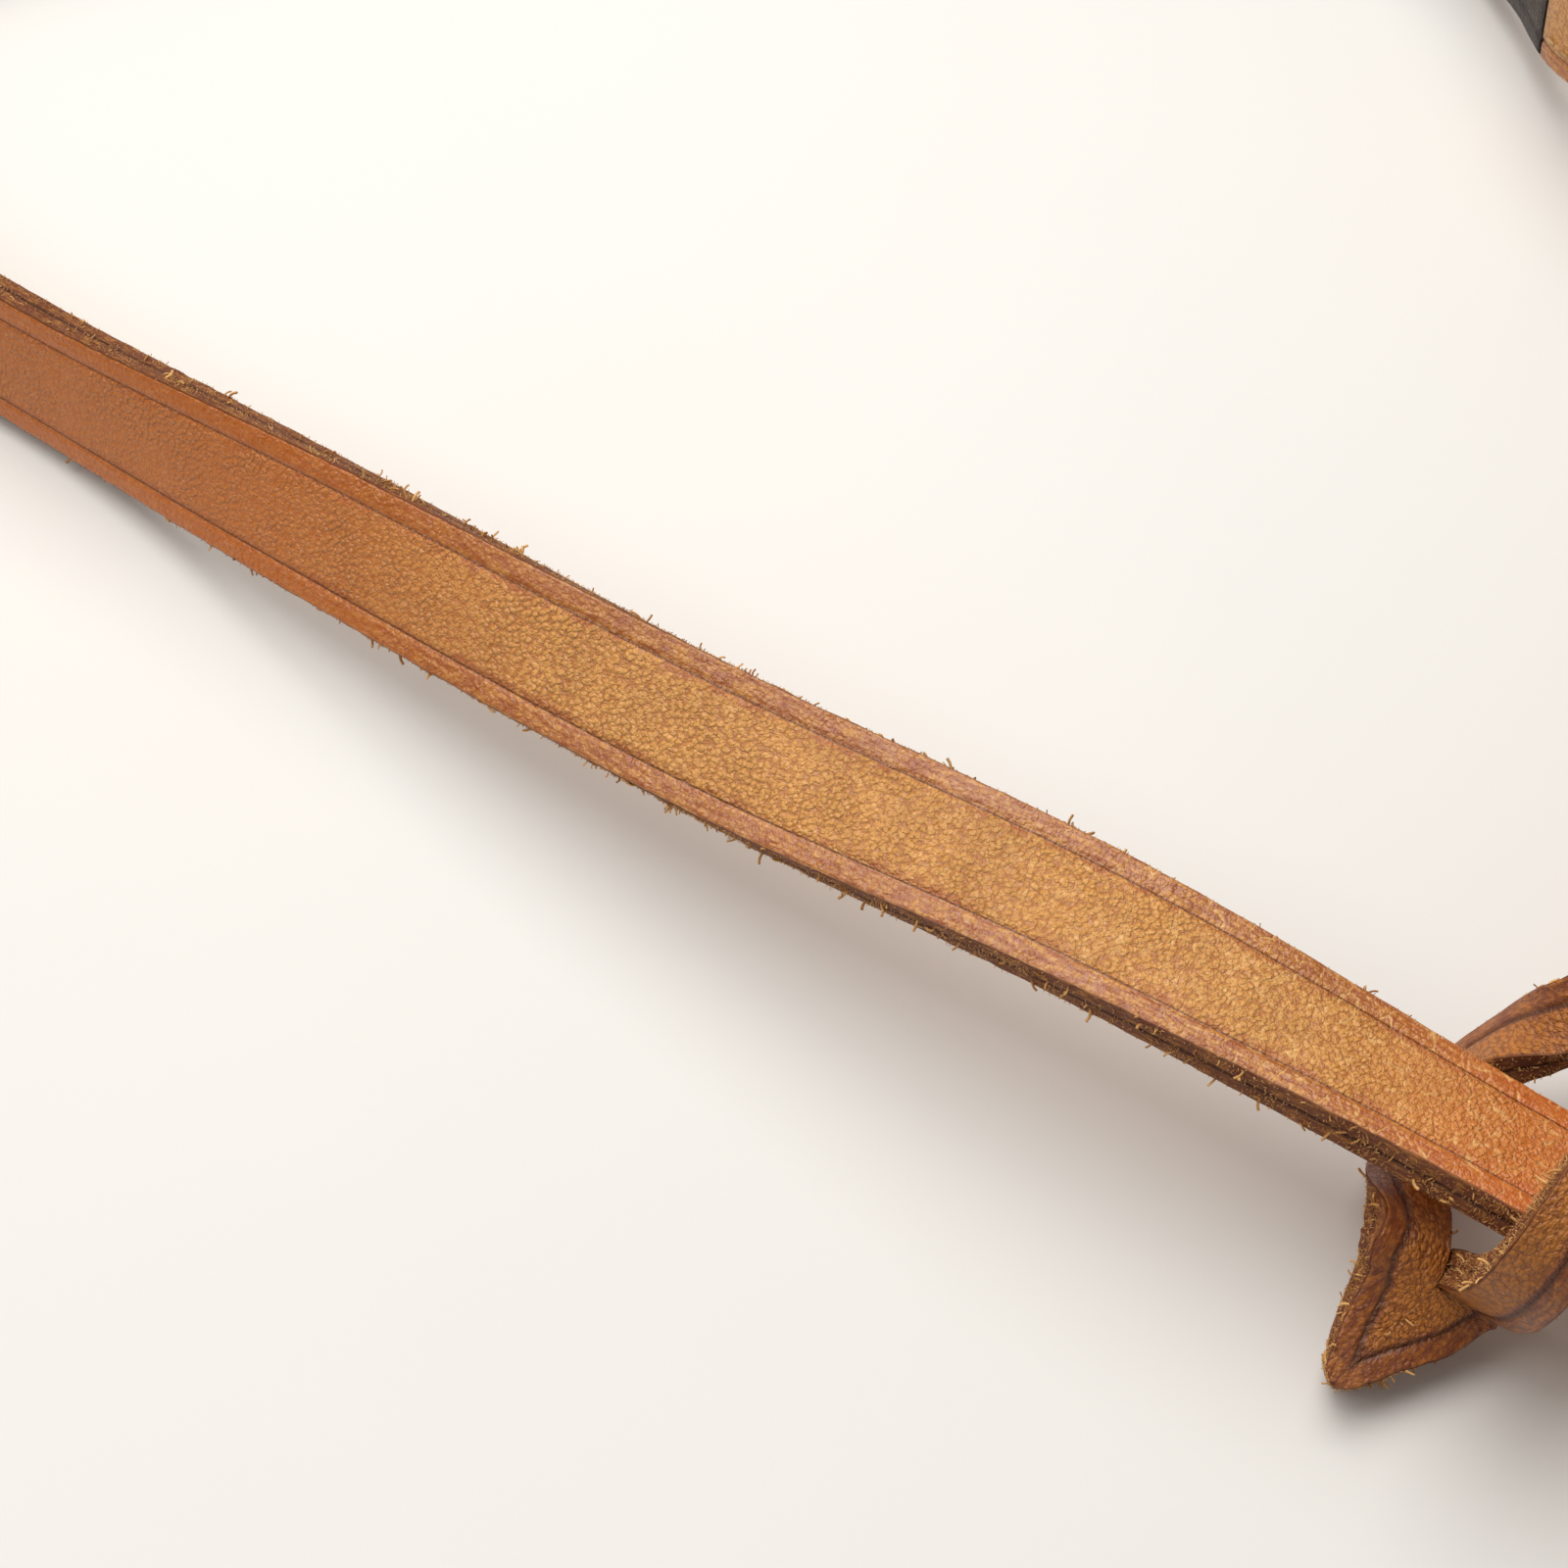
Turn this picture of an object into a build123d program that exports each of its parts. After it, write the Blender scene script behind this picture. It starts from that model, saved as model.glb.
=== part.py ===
from build123d import *
import os
from math import atan2, cos, degrees, pi, radians, sin

os.makedirs("parts", exist_ok=True)

# A headcollar laid out on a table, jaw side up. X runs across it, +Y towards the nose, +Z up, millimetres.
# Everything is placed from the point where the jaw strap crosses the throat lash, then moved by SHIFT.
SHIFT = (-2.154, 12.378, 0.0)

# driving dimensions
STRAP_W = 12.0        # throat lash, jaw strap, cheekpieces and headpiece
NOSE_W = 16.0         # nose strap
PLY = 1.57            # one ply of leather
GLUE = 0.06           # gap between the two plies
LOOP_GAP = 0.30       # leather to wire inside a turned end
ROUND_GAP = 1.00      # the same on the round chin ring, whose wire curves away
ROUND_W = 9.0         # a strap is waisted where it turns round the chin ring
TURN = 10.0           # length over which a turned end closes up
WIRE = 4.0            # wire of the cheek and chin rings
NOSE_WIRE = 4.5
CHEEK_HALF = 10.0     # half the cheek ring's centreline
CHEEK_X = 203.0       # cheek rings stand at x = -CHEEK_X and +CHEEK_X
STRAP_Z = 11.2        # height of an upright strap's middle at a cheek ring
NOSE_HALF = 12.5      # half the nose ring's centreline, along its foot
NOSE_TALL = 28.0
NOSE_FOOT_Z = PLY + LOOP_GAP + NOSE_WIRE / 2 + 0.16
NOSE_LEFT = (-38.0, 124.0)
NOSE_RIGHT = (76.0, 124.0)
NOSE_TURN = 13.0      # degrees each nose ring is turned about the vertical
CHIN = Vector(19.0, 97.0, 33.0)
CHIN_R = 16.0
SNAP_WIRE = 3.2
CHEEK_RING_Z = CHEEK_HALF + WIRE / 2
BASE = (PLY + GLUE) / 2
CHEEK_END = (WIRE, LOOP_GAP, STRAP_W)
NOSE_END = (NOSE_WIRE, LOOP_GAP, STRAP_W)
CHIN_END_TURN = (WIRE, ROUND_GAP, ROUND_W)


def track(knots, step=6.0):
    """Evenly spread stations (point, roll) on a smooth curve through knots (x, y, z, roll)."""
    pts = [Vector(*k[:3]) for k in knots]
    rolls = [k[3] for k in knots]
    out = []
    for i in range(len(pts) - 1):
        a, b = pts[i], pts[i + 1]
        before = pts[i - 1] if i else a - (b - a)
        after = pts[i + 2] if i + 2 < len(pts) else b + (b - a)
        span = (b - a).length
        ta = (b - before) * (span / max((b - a).length + (a - before).length, 1e-6))
        tb = (after - a) * (span / max((b - a).length + (after - b).length, 1e-6))
        r0 = rolls[i - 1] if i else rolls[i]
        r3 = rolls[i + 2] if i + 2 < len(rolls) else rolls[i + 1]
        count = max(2, round(span / step))
        for j in range(count + (i == len(pts) - 2)):
            u = j / count
            h1, h2 = 2 * u**3 - 3 * u**2 + 1, u**3 - 2 * u**2 + u
            h3, h4 = -2 * u**3 + 3 * u**2, u**3 - u**2
            point = a * h1 + ta * h2 + b * h3 + tb * h4
            roll = rolls[i] * h1 + rolls[i + 1] * h3 + 0.5 * ((rolls[i + 1] - r0) * h2 + (r3 - rolls[i]) * h4)
            out.append((point, roll))
    return out


def frames(knots, step=6.0, start_dir=None, end_dir=None):
    """Stations (s, point, along, width, normal). At roll 0 the face looks up; roll 90 stands it on edge."""
    stations = track(knots, step)
    out, s = [], 0.0
    for i, (point, roll) in enumerate(stations):
        ahead = stations[min(i + 1, len(stations) - 1)][0]
        behind = stations[max(i - 1, 0)][0]
        along = (ahead - behind).normalized()
        if i == 0 and start_dir:
            along = Vector(*start_dir).normalized()
        if i == len(stations) - 1 and end_dir:
            along = Vector(*end_dir).normalized()
        if i:
            s += (point - stations[i - 1][0]).length
        up = (Vector(0, 0, 1) - along * along.Z).normalized()
        side = up.cross(along)
        c, k = cos(radians(roll)), sin(radians(roll))
        out.append((s, point, along, side * c + up * k, up * c - side * k))
    return out


def slab(sections, label):
    """A ruled body through rectangles: (centre, along, width direction, width, thickness)."""
    with BuildPart() as body:
        for centre, along, across, width, thick in sections:
            with BuildSketch(Plane(origin=centre, x_dir=across, z_dir=along)):
                Rectangle(width, thick)
        loft(ruled=True)
    body.part.label = label
    return body


def save(shape, label):
    moved = shape.moved(Location(SHIFT))
    moved.label = label
    export_step(moved, f"parts/{label}.step")


def closing(reach):
    """1 beside the wire of a turned end, falling smoothly to 0 where the plies lie together."""
    u = min(reach / TURN, 1.0)
    return 1 - u * u * (3 - 2 * u)


def station(route, s):
    """The frame at arc length s, between the stored ones."""
    for a, b in zip(route, route[1:]):
        if s <= b[0]:
            break
    u = (s - a[0]) / (b[0] - a[0])
    return (s, a[1] + (b[1] - a[1]) * u, (a[2] + (b[2] - a[2]) * u).normalized(),
            (a[3] + (b[3] - a[3]) * u).normalized(), (a[4] + (b[4] - a[4]) * u).normalized())


def turned(route, width, label, start=None, end=None, side=1, point=0.0):
    """The outer ply of a doubled strap, turned round a wire at its ends, and the ply behind it.
    start and end are (wire, gap, width at the wire), or None where the strap just stops;
    point is the length of a pointed free end."""
    total = route[-1][0]
    radii = [e and e[0] / 2 + e[1] + PLY / 2 for e in (start, end)]

    def off(s):
        out = BASE
        for reach, radius in zip((s, total - s), radii):
            if radius:
                out = max(out, BASE + (radius - BASE) * closing(reach))
        return out

    def wide(s):
        out = width
        for reach, e in zip((s, total - s), (start, end)):
            if e:
                out = min(out, width + (e[2] - width) * closing(reach))
        if point and total - s < point:
            out = width * (0.30 + 0.70 * ((total - s) / point) ** 0.6)
        return out

    close = TURN + 2.5
    first = [s for s in (1.5, 3.0, 5.0, 7.5, 10.0, close)] if start else [0.0]
    final = [total - s for s in (close, 10.0, 7.5, 5.0, 3.0, 1.5)] if end else [total]
    if point:
        final = [total - point * u for u in (1.0, 0.8, 0.6, 0.4, 0.25, 0.1, 0.0)]
    middle = [f[0] for f in route if first[-1] + 1.5 < f[0] < final[0] - 1.5]
    outer = []
    if start:
        for s in first[::-1]:
            s, p, t, w, n = station(route, s)
            outer.append((p - n * side * off(s), -t, w, wide(s), PLY))
        s, p, t, w, n = route[0]
        for i in range(9):
            a = -pi / 2 + pi * i / 8
            outer.append((p - t * radii[0] * cos(a) + n * side * radii[0] * sin(a),
                          t * sin(a) + n * side * cos(a), w, wide(s), PLY))
    for s in first + middle + final:
        s, p, t, w, n = station(route, s)
        outer.append((p + n * side * off(s), t, w, wide(s), PLY))
    if end:
        s, p, t, w, n = route[-1]
        for i in range(9):
            a = pi / 2 - pi * i / 8
            outer.append((p + t * radii[1] * cos(a) + n * side * radii[1] * sin(a),
                          t * sin(a) - n * side * cos(a), w, wide(s), PLY))
        for s in final[::-1]:
            s, p, t, w, n = station(route, s)
            outer.append((p - n * side * off(s), -t, w, wide(s), PLY))
    low = close + 0.4 if start else 0.0
    high = total - close - 0.4 if end else total
    inner = []
    rest = final if point else [high]
    for s in [low] + [m for m in middle if low + 0.5 < m < high - 0.5] + rest:
        s, p, t, w, n = station(route, s)
        inner.append((p - n * side * BASE, t, w, wide(s), PLY))
    return slab(outer, label + "_face"), slab(inner, label + "_back")


def wire_frame(plane, half_w, half_h, corner, wire):
    """A closed rectangular wire ring with rounded corners, centred on the plane."""
    with BuildPart() as ring:
        with BuildLine(plane):
            Line((-half_w + corner, -half_h), (half_w - corner, -half_h))
            CenterArc((half_w - corner, -half_h + corner), corner, -90, 90)
            Line((half_w, -half_h + corner), (half_w, half_h - corner))
            CenterArc((half_w - corner, half_h - corner), corner, 0, 90)
            Line((half_w - corner, half_h), (-half_w + corner, half_h))
            CenterArc((-half_w + corner, half_h - corner), corner, 90, 90)
            Line((-half_w, half_h - corner), (-half_w, -half_h + corner))
            CenterArc((-half_w + corner, -half_h + corner), corner, 180, 90)
        start = plane.from_local_coords((0, -half_h, 0))
        with BuildSketch(Plane(origin=start, x_dir=plane.y_dir, z_dir=plane.x_dir)):
            Circle(wire / 2)
        sweep()
    return ring


# ---- throat lash -------------------------------------------------------------------------------
SNAP_EYE_X = 160.0
SNAP_Z = 22.0         # the snap turns about this height, level with the ring's top bar


def lash_route():
    return frames([
        (-CHEEK_X, 0, 2 * CHEEK_HALF + WIRE / 2, 0), (-176, 0.5, 10.5, 42), (-150, 1.1, 6.8, 70),
        (-110, -0.8, 9.4, 49), (-70, -2.2, 12.2, 26), (-35, -1.8, 15.0, 4), (0, -1, 13.1, -17),
        (35, 0, 10.2, -9), (80, 0, 7.0, 0), (118, 0, 10.0, 0), (144, 0, 19.4, 0), (SNAP_EYE_X, 0, SNAP_Z, 0)],
        step=6.0, start_dir=(1, 0, -0.35), end_dir=(1, 0, 0))


def throat_lash():
    face, back = turned(lash_route(), STRAP_W, "throat_lash", CHEEK_END, (SNAP_WIRE, LOOP_GAP, STRAP_W))
    save(face.part, "throat_lash_face")
    save(back.part, "throat_lash_back")


# ---- jaw strap with its slit -------------------------------------------------------------------
SLIT_NEAR = Vector(-1.9, -9.2, 6.2)      # slit's end beside the point
SLIT_FAR = Vector(2.7, 14.5, 15.6)       # slit's end towards the chin ring
TIP = Vector(-4.1, -19.0, 2.4)
SLIT_OPEN = 0.6
FAR_TWIST = -72.0         # the far leg stands nearly on its edge under the lash
TWIST_SPAN = 0.36         # share of the leg over which it turns


def gentle(points, count):
    """Evenly spaced samples of a smooth curve drawn towards the points, meeting the first and the last."""
    p = [points[0]] * 2 + list(points) + [points[-1]] * 2
    dense = []
    for i in range(len(p) - 3):
        for j in range(20):
            u = j / 20
            dense.append((p[i] * (1 - u) ** 3 + p[i + 1] * (3 * u**3 - 6 * u**2 + 4)
                          + p[i + 2] * (-3 * u**3 + 3 * u**2 + 3 * u + 1) + p[i + 3] * u**3) * (1 / 6))
    dense.append(points[-1])
    run = [0.0]
    for a, b in zip(dense, dense[1:]):
        run.append(run[-1] + (b - a).length)
    out, k = [], 0
    for i in range(count + 1):
        target = run[-1] * i / count
        while k < len(run) - 2 and run[k + 1] < target:
            k += 1
        u = (target - run[k]) / max(run[k + 1] - run[k], 1e-9)
        out.append(dense[k] + (dense[k + 1] - dense[k]) * min(u, 1.0))
    return out


SLIT_T = Vector(0.16, 0.80, 0.56).normalized()   # the way the strap runs where the slit begins
SLIT_W = Vector(-0.80, 0.0, 0.60)
SLIT_W = (SLIT_W - SLIT_T * SLIT_W.dot(SLIT_T)).normalized()
CHIN_END = CHIN - Vector(19.0, 97.0, 0).normalized() * CHIN_R
FAR_T = (CHIN_END - SLIT_FAR).normalized()
FAR_W = Vector(0, 0, 1).cross(FAR_T).normalized()


def leg_sections(points, low, high, twist=0.0):
    """Sections of one leg beside the slit. It starts and ends straight, inside the whole strap.
    twist is how many degrees the leg turns about its own line between its ends."""
    points = [q if isinstance(q, Vector) else Vector(*q) for q in points]
    start, stop = points[0], points[-1]
    points[0], points[-1] = start + SLIT_T * 0.8, stop - FAR_T * 0.8
    points.insert(1, points[0] + SLIT_T * 1.6)
    points.insert(-1, points[-1] - FAR_T * 2.6)
    fine = gentle(points, 16)
    out = []
    width, thick = (STRAP_W - SLIT_OPEN) / 2, high - low

    def put(p, t, w):
        out.append((p + t.cross(w) * (low + high) / 2, t, w, width, thick))

    put(start - SLIT_T * 0.8, SLIT_T, SLIT_W)
    for j, p in enumerate(fine):
        t = (fine[min(j + 1, 16)] - fine[max(j - 1, 0)]).normalized()
        t = SLIT_T if j == 0 else FAR_T if j == 16 else t
        w = SLIT_W * (1 - j / 16) + FAR_W * (j / 16)
        w = (w - t * w.dot(t)).normalized()
        u = min(j / 16 / TWIST_SPAN, (1 - j / 16) / TWIST_SPAN, 1.0)
        turn = radians(twist) * u * u * (3 - 2 * u)
        put(p, t, w * cos(turn) + t.cross(w) * sin(turn))
    put(stop + FAR_T * 0.8, FAR_T, FAR_W)
    return out


def jaw_legs(low, high):
    shift = (STRAP_W + SLIT_OPEN) / 4
    over = leg_sections([SLIT_NEAR - SLIT_W * shift, (3.2, -9.6, 9.4), (5.0, -11.6, 16.4),
                         (5.9, -7.4, 22.0), (6.2, 0.6, 20.8), (6.0, 7.8, 17.6), SLIT_FAR - FAR_W * shift], low, high)
    under = leg_sections([SLIT_NEAR + SLIT_W * shift, (-7.0, -4.0, 6.6), (-8.6, 3.0, 4.4),
                          (-7.0, 9.4, 7.0), SLIT_FAR + FAR_W * shift], low, high, FAR_TWIST)
    return over, under


def jaw_tab(low, high):
    """The pointed end beyond the slit, curling down to the table."""
    flat = Vector(-1.0, 0.0, 0.14)
    curl = gentle([TIP, TIP + Vector(0.5, 3.4, 1.3), SLIT_NEAR - SLIT_T * 2.6, SLIT_NEAR - SLIT_T * 1.6], 7)
    curl.append(SLIT_NEAR)
    out = []
    for j, width in enumerate((2.0, 3.4, 4.8, 6.2, 7.6, 9.0, 10.4, STRAP_W - 0.4, STRAP_W)):
        t = (curl[min(j + 1, 8)] - curl[max(j - 1, 0)]).normalized()
        t = SLIT_T if j > 6 else t
        w = flat * (1 - min(j / 7, 1.0)) + SLIT_W * min(j / 7, 1.0)
        w = (w - t * w.dot(t)).normalized()
        out.append((curl[j] + t.cross(w) * (low + high) / 2, t, w, width, high - low))
    return out


def jaw_ply(low, high, label, route, side):
    over, under = jaw_legs(low, high)
    with BuildPart() as ply:
        for sections in (jaw_tab(low, high), over, under):
            with BuildPart(mode=Mode.PRIVATE) as piece:
                for centre, along, across, width, thick in sections:
                    with BuildSketch(Plane(origin=centre, x_dir=across, z_dir=along)):
                        Rectangle(width, thick)
                loft(ruled=True)
            add(piece.part)
        add(turned(route, STRAP_W, "jaw_strap", None, CHIN_END_TURN)[side].part)
    return ply


def jaw_strap():
    begin = SLIT_FAR
    run = (CHIN_END - begin).length
    count = 12
    route = []
    for i in range(count + 1):
        p = begin + FAR_T * run * i / count
        route.append((run * i / count, p, FAR_T, FAR_W, FAR_T.cross(FAR_W)))
    for low, high, side, label in ((GLUE / 2, GLUE / 2 + PLY, 0, "jaw_strap_face"),
                                   (-GLUE / 2 - PLY, -GLUE / 2, 1, "jaw_strap_back")):
        ply = jaw_ply(low, high, label, route, side)
        save(ply.part, label)


# ---- rings -------------------------------------------------------------------------------------
def cheek_rings():
    for x, label in ((-CHEEK_X, "cheek_ring_left"), (CHEEK_X, "cheek_ring_right")):
        plane = Plane(origin=(x, 0, CHEEK_RING_Z), x_dir=(0, 1, 0), z_dir=(1, 0, 0))
        save(wire_frame(plane, CHEEK_HALF, CHEEK_HALF, 3.0, WIRE).part, label)


def nose_bar(side):
    """Centre and horizontal direction of a nose ring; side is -1 on the left and 1 on the right."""
    centre = NOSE_LEFT if side < 0 else NOSE_RIGHT
    a = radians(NOSE_TURN) * -side
    return Vector(*centre, 0), Vector(sin(a), cos(a), 0)


def nose_rings():
    for side, label in ((-1, "nose_ring_left"), (1, "nose_ring_right")):
        centre, along = nose_bar(side)
        origin = centre + Vector(0, 0, NOSE_FOOT_Z + NOSE_TALL / 2)
        plane = Plane(origin=origin, x_dir=along, z_dir=along.cross(Vector(0, 0, 1)))
        save(wire_frame(plane, NOSE_HALF, NOSE_TALL / 2, 3.0, NOSE_WIRE).part, label)


def chin_ring():
    with BuildPart() as ring:
        with BuildSketch(Plane.XZ):
            with Locations((CHIN_R, 0)):
                Circle(WIRE / 2)
        revolve(axis=Axis.Z)
    save(ring.part.moved(Location(CHIN)), "chin_ring")


# ---- nose strap, its padded lining and the chin straps -----------------------------------------
def nose_route():
    (left, right), z = (NOSE_LEFT, NOSE_RIGHT), NOSE_FOOT_Z
    mid = PLY + GLUE / 2 + 0.25
    return frames([(left[0], left[1], z, 0), (left[0] + TURN, left[1], mid + 0.35, 0),
                   (left[0] + 20, left[1], mid, 0), ((left[0] + right[0]) / 2, left[1], mid, 0),
                   (right[0] - 20, left[1], mid, 0), (right[0] - TURN, left[1], mid + 0.35, 0),
                   (right[0], left[1], z, 0)], step=5.0,
                  start_dir=(cos(radians(NOSE_TURN)), -sin(radians(NOSE_TURN)), 0),
                  end_dir=(cos(radians(NOSE_TURN)), sin(radians(NOSE_TURN)), 0))


def nose_strap():
    face, back = turned(nose_route(), NOSE_W, "nose_strap", (NOSE_WIRE, LOOP_GAP, NOSE_W),
                        (NOSE_WIRE, LOOP_GAP, NOSE_W), side=-1)
    save(face.part, "nose_strap_face")
    save(back.part, "nose_strap_back")


def nose_lining():
    x0, x1 = NOSE_LEFT[0] + 17, NOSE_RIGHT[0] - 17
    with BuildPart() as pad:
        with Locations(((x0 + x1) / 2, NOSE_LEFT[1], 2 * PLY + GLUE + 0.40)):
            Box(x1 - x0, 24, 5.0, align=(Align.CENTER, Align.CENTER, Align.MIN))
        fillet(pad.edges().filter_by(Axis.Z), 10.0)
        fillet(pad.faces().sort_by(Axis.Z)[-1].edges(), 2.2)
    save(pad.part, "nose_lining")


def chin_straps():
    for side, label in ((-1, "chin_strap_left"), (1, "chin_strap_right")):
        centre, along = nose_bar(side)
        top = centre + Vector(0, 0, NOSE_FOOT_Z + NOSE_TALL)
        inward = Vector(CHIN.X - centre.X, CHIN.Y - centre.Y, 0).normalized()
        end = CHIN - inward * CHIN_R
        mid = (top + end) * 0.5 + Vector(0, 0, 1.5)
        q1 = top * 0.7 + end * 0.3 + Vector(0, 0, 1.1)
        knots = [(p.X, p.Y, p.Z, 0) for p in (top, q1, mid, end)]
        square = (-side * along.Y, side * along.X, 0)
        route = frames(knots, step=4.0, start_dir=square, end_dir=(inward.X, inward.Y, 0))
        face, back = turned(route, STRAP_W, label, NOSE_END, CHIN_END_TURN)
        save(face.part, label + "_face")
        save(back.part, label + "_back")


# ---- cheekpieces -------------------------------------------------------------------------------
def cheekpieces():
    for side, label in ((-1, "cheekpiece_left"), (1, "cheekpiece_right")):
        centre, along = nose_bar(side)
        bar = centre - along * NOSE_HALF
        if side < 0:
            knots = [(bar.X, bar.Y, 13.4, 90), (-49, 111.8, 11.0, 90), (-58, 119.6, 9.6, 90),
                     (-76, 130.5, 7.6, 90), (-112, 126, 6.3, 90), (-160, 88, 6.3, 90),
                     (-193, 44, 7.4, 90), (-CHEEK_X, CHEEK_HALF, STRAP_Z, 90)]
            route = frames(knots, step=5.0, start_dir=(-1, 0, 0), end_dir=(0, -1, 0))
        else:
            knots = [(bar.X, bar.Y, 13.4, 90), (88, 112.6, 11.0, 90), (98, 120.5, 9.4, 90),
                     (122, 133, 7.0, 90), (156, 120, 6.3, 90), (188, 78, 6.3, 90),
                     (200, 42, 7.4, 90), (CHEEK_X, CHEEK_HALF, STRAP_Z, 90)]
            route = frames(knots, step=5.0, start_dir=(1, 0, 0), end_dir=(0, -1, 0))
        face, back = turned(route, STRAP_W, label, NOSE_END, CHEEK_END)
        save(face.part, label + "_face")
        save(back.part, label + "_back")


# ---- headpiece, its buckle strap, buckle and keepers -------------------------------------------
BILLET_DIR = Vector(-0.22, -0.975, 0).normalized()     # from the near cheek ring towards the buckle
BILLET_OUT = Vector(0.975, -0.22, 0).normalized()      # away from the head
BILLET_LENGTH = 46.0
HEEL = Vector(CHEEK_X, -CHEEK_HALF, STRAP_Z) + BILLET_DIR * BILLET_LENGTH
BUCKLE_WIRE = 2.6
BUCKLE_HALF = 8.55        # half the frame's height on its centreline
FRONT_S, FRONT_N = 15.0, 6.9
ROLLER_R = 2.2
PIN_GAP = 0.06            # running gap of the tongue and the roller, radial
HOLE_S = 4.6              # hole the tongue stands in, measured from the heel bar
HOLE_PITCH = 22.0
POINT = 9.0


def at_buckle(s, n, z=0.0):
    """A point s beyond the heel bar towards the poll, n outwards, z up from the strap's middle."""
    return HEEL + BILLET_DIR * s + BILLET_OUT * n + Vector(0, 0, z)


def tail_height(s):
    """How far outwards the headpiece's middle runs from the buckle strap's middle."""
    return {40: 0.0, 27: 1.3, 15: 2.6, 7: 4.3, 0: 5.1, -7: 4.7, -14: 3.7, -24: 3.7, -32: 3.7}[s]


def headpiece_route():
    knots = [(-CHEEK_X, -CHEEK_HALF, STRAP_Z, 90), (-203, -40, 8.4, 90), (-195, -80, 6.5, 90),
             (-168, -118, 6.3, 90), (-110, -148, 6.3, 90), (-40, -160, 6.3, 90), (40, -160, 6.3, 90),
             (110, -148, 6.3, 90), (158, -124, 7.2, 90)]
    for s in (40, 27, 15, 7, 0, -7, -14, -24, -32):
        p = at_buckle(s, tail_height(s))
        knots.append((p.X, p.Y, p.Z - (1.4 if s == 40 else 0.4 if s == 27 else 0.0), 90))
    back = -BILLET_DIR
    return frames(knots, step=6.0, start_dir=(0, -1, 0), end_dir=(back.X, back.Y, 0))


def across_plane(s, n, z=0.0):
    """A sketch plane whose normal points outwards, x along the strap and y up."""
    return Plane(origin=at_buckle(s, n, z), x_dir=BILLET_DIR, z_dir=BILLET_DIR.cross(Vector(0, 0, -1)))


def headpiece():
    route = headpiece_route()
    face, back = turned(route, STRAP_W, "headpiece", CHEEK_END, None, point=POINT)
    for ply, label in ((face, "headpiece_face"), (back, "headpiece_back")):
        with BuildPart() as holed:
            add(ply.part)
            with BuildSketch(across_plane(HOLE_S, -10)):
                SlotOverall(7.8, 3.6)
            extrude(amount=30, mode=Mode.SUBTRACT)
            for i in (-1, 1, 2):
                with BuildSketch(across_plane(HOLE_S + HOLE_PITCH * i, -10)):
                    Circle(1.5)
                extrude(amount=30, mode=Mode.SUBTRACT)
        save(holed.part, label)
    total = route[-1][0]
    inside = [f for f in route if 0.37 * total < f[0] < 0.63 * total]
    sections = []
    for i, (s, p, t, w, n) in enumerate(inside):
        rounding = min(i, len(inside) - 1 - i, 2) / 2
        sections.append((p - n * (2 * BASE + PLY + 2.1 - 0.8), t, w, 8.6 + 3.6 * rounding, 2.6 + 1.4 * rounding))
    save(slab(sections, "poll_lining").part, "poll_lining")


def buckle_strap():
    route = []
    for i in range(13):
        s = BILLET_LENGTH * i / 12
        p = Vector(CHEEK_X, -CHEEK_HALF, STRAP_Z) + BILLET_DIR * s
        route.append((s, p, BILLET_DIR, Vector(0, 0, 1), -BILLET_OUT))
    face, back = turned(route, STRAP_W, "buckle_strap", CHEEK_END, (BUCKLE_WIRE, LOOP_GAP, STRAP_W))
    with BuildPart() as slotted:
        add(face.part)
        with BuildSketch(across_plane(-1.0, -10)):
            SlotOverall(14.0, 3.8)
        extrude(amount=30, mode=Mode.SUBTRACT)
    save(slotted.part, "buckle_strap_face")
    save(back.part, "buckle_strap_back")


def buckle():
    centre = at_buckle(FRONT_S / 2, FRONT_N / 2)
    slope = (at_buckle(FRONT_S, FRONT_N) - HEEL)
    plane = Plane(origin=centre, x_dir=(0, 0, 1), z_dir=Vector(0, 0, 1).cross(slope).normalized())
    save(wire_frame(plane, BUCKLE_HALF, slope.length / 2, 2.2, BUCKLE_WIRE).part, "buckle_frame")

    front = at_buckle(FRONT_S, FRONT_N)
    with BuildPart() as roller:
        with BuildSketch(Plane(origin=front - Vector(0, 0, 5.9), z_dir=(0, 0, 1))):
            Circle(ROLLER_R)
            Circle(BUCKLE_WIRE / 2 + PIN_GAP, mode=Mode.SUBTRACT)
        extrude(amount=11.8)
    save(roller.part, "buckle_roller")

    with BuildPart() as tongue:
        with BuildSketch(Plane(origin=HEEL - Vector(0, 0, 1.4), z_dir=(0, 0, 1))):
            Circle(2.55)
        extrude(amount=2.8)
        with BuildLine():
            Spline(at_buckle(1.2, 1.6), at_buckle(3.6, 4.6), at_buckle(6.4, 8.0), at_buckle(11.0, 10.2),
                   at_buckle(FRONT_S + 1.8, 10.35))
        with BuildSketch(Plane(origin=at_buckle(1.2, 1.6), z_dir=(at_buckle(3.6, 4.6) - at_buckle(1.2, 1.6)))):
            Circle(1.05)
        sweep()
        with BuildSketch(Plane(origin=HEEL - Vector(0, 0, 4), z_dir=(0, 0, 1))):
            Circle(BUCKLE_WIRE / 2 + PIN_GAP)
        extrude(amount=8, mode=Mode.SUBTRACT)
    save(tongue.part, "buckle_tongue")


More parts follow.
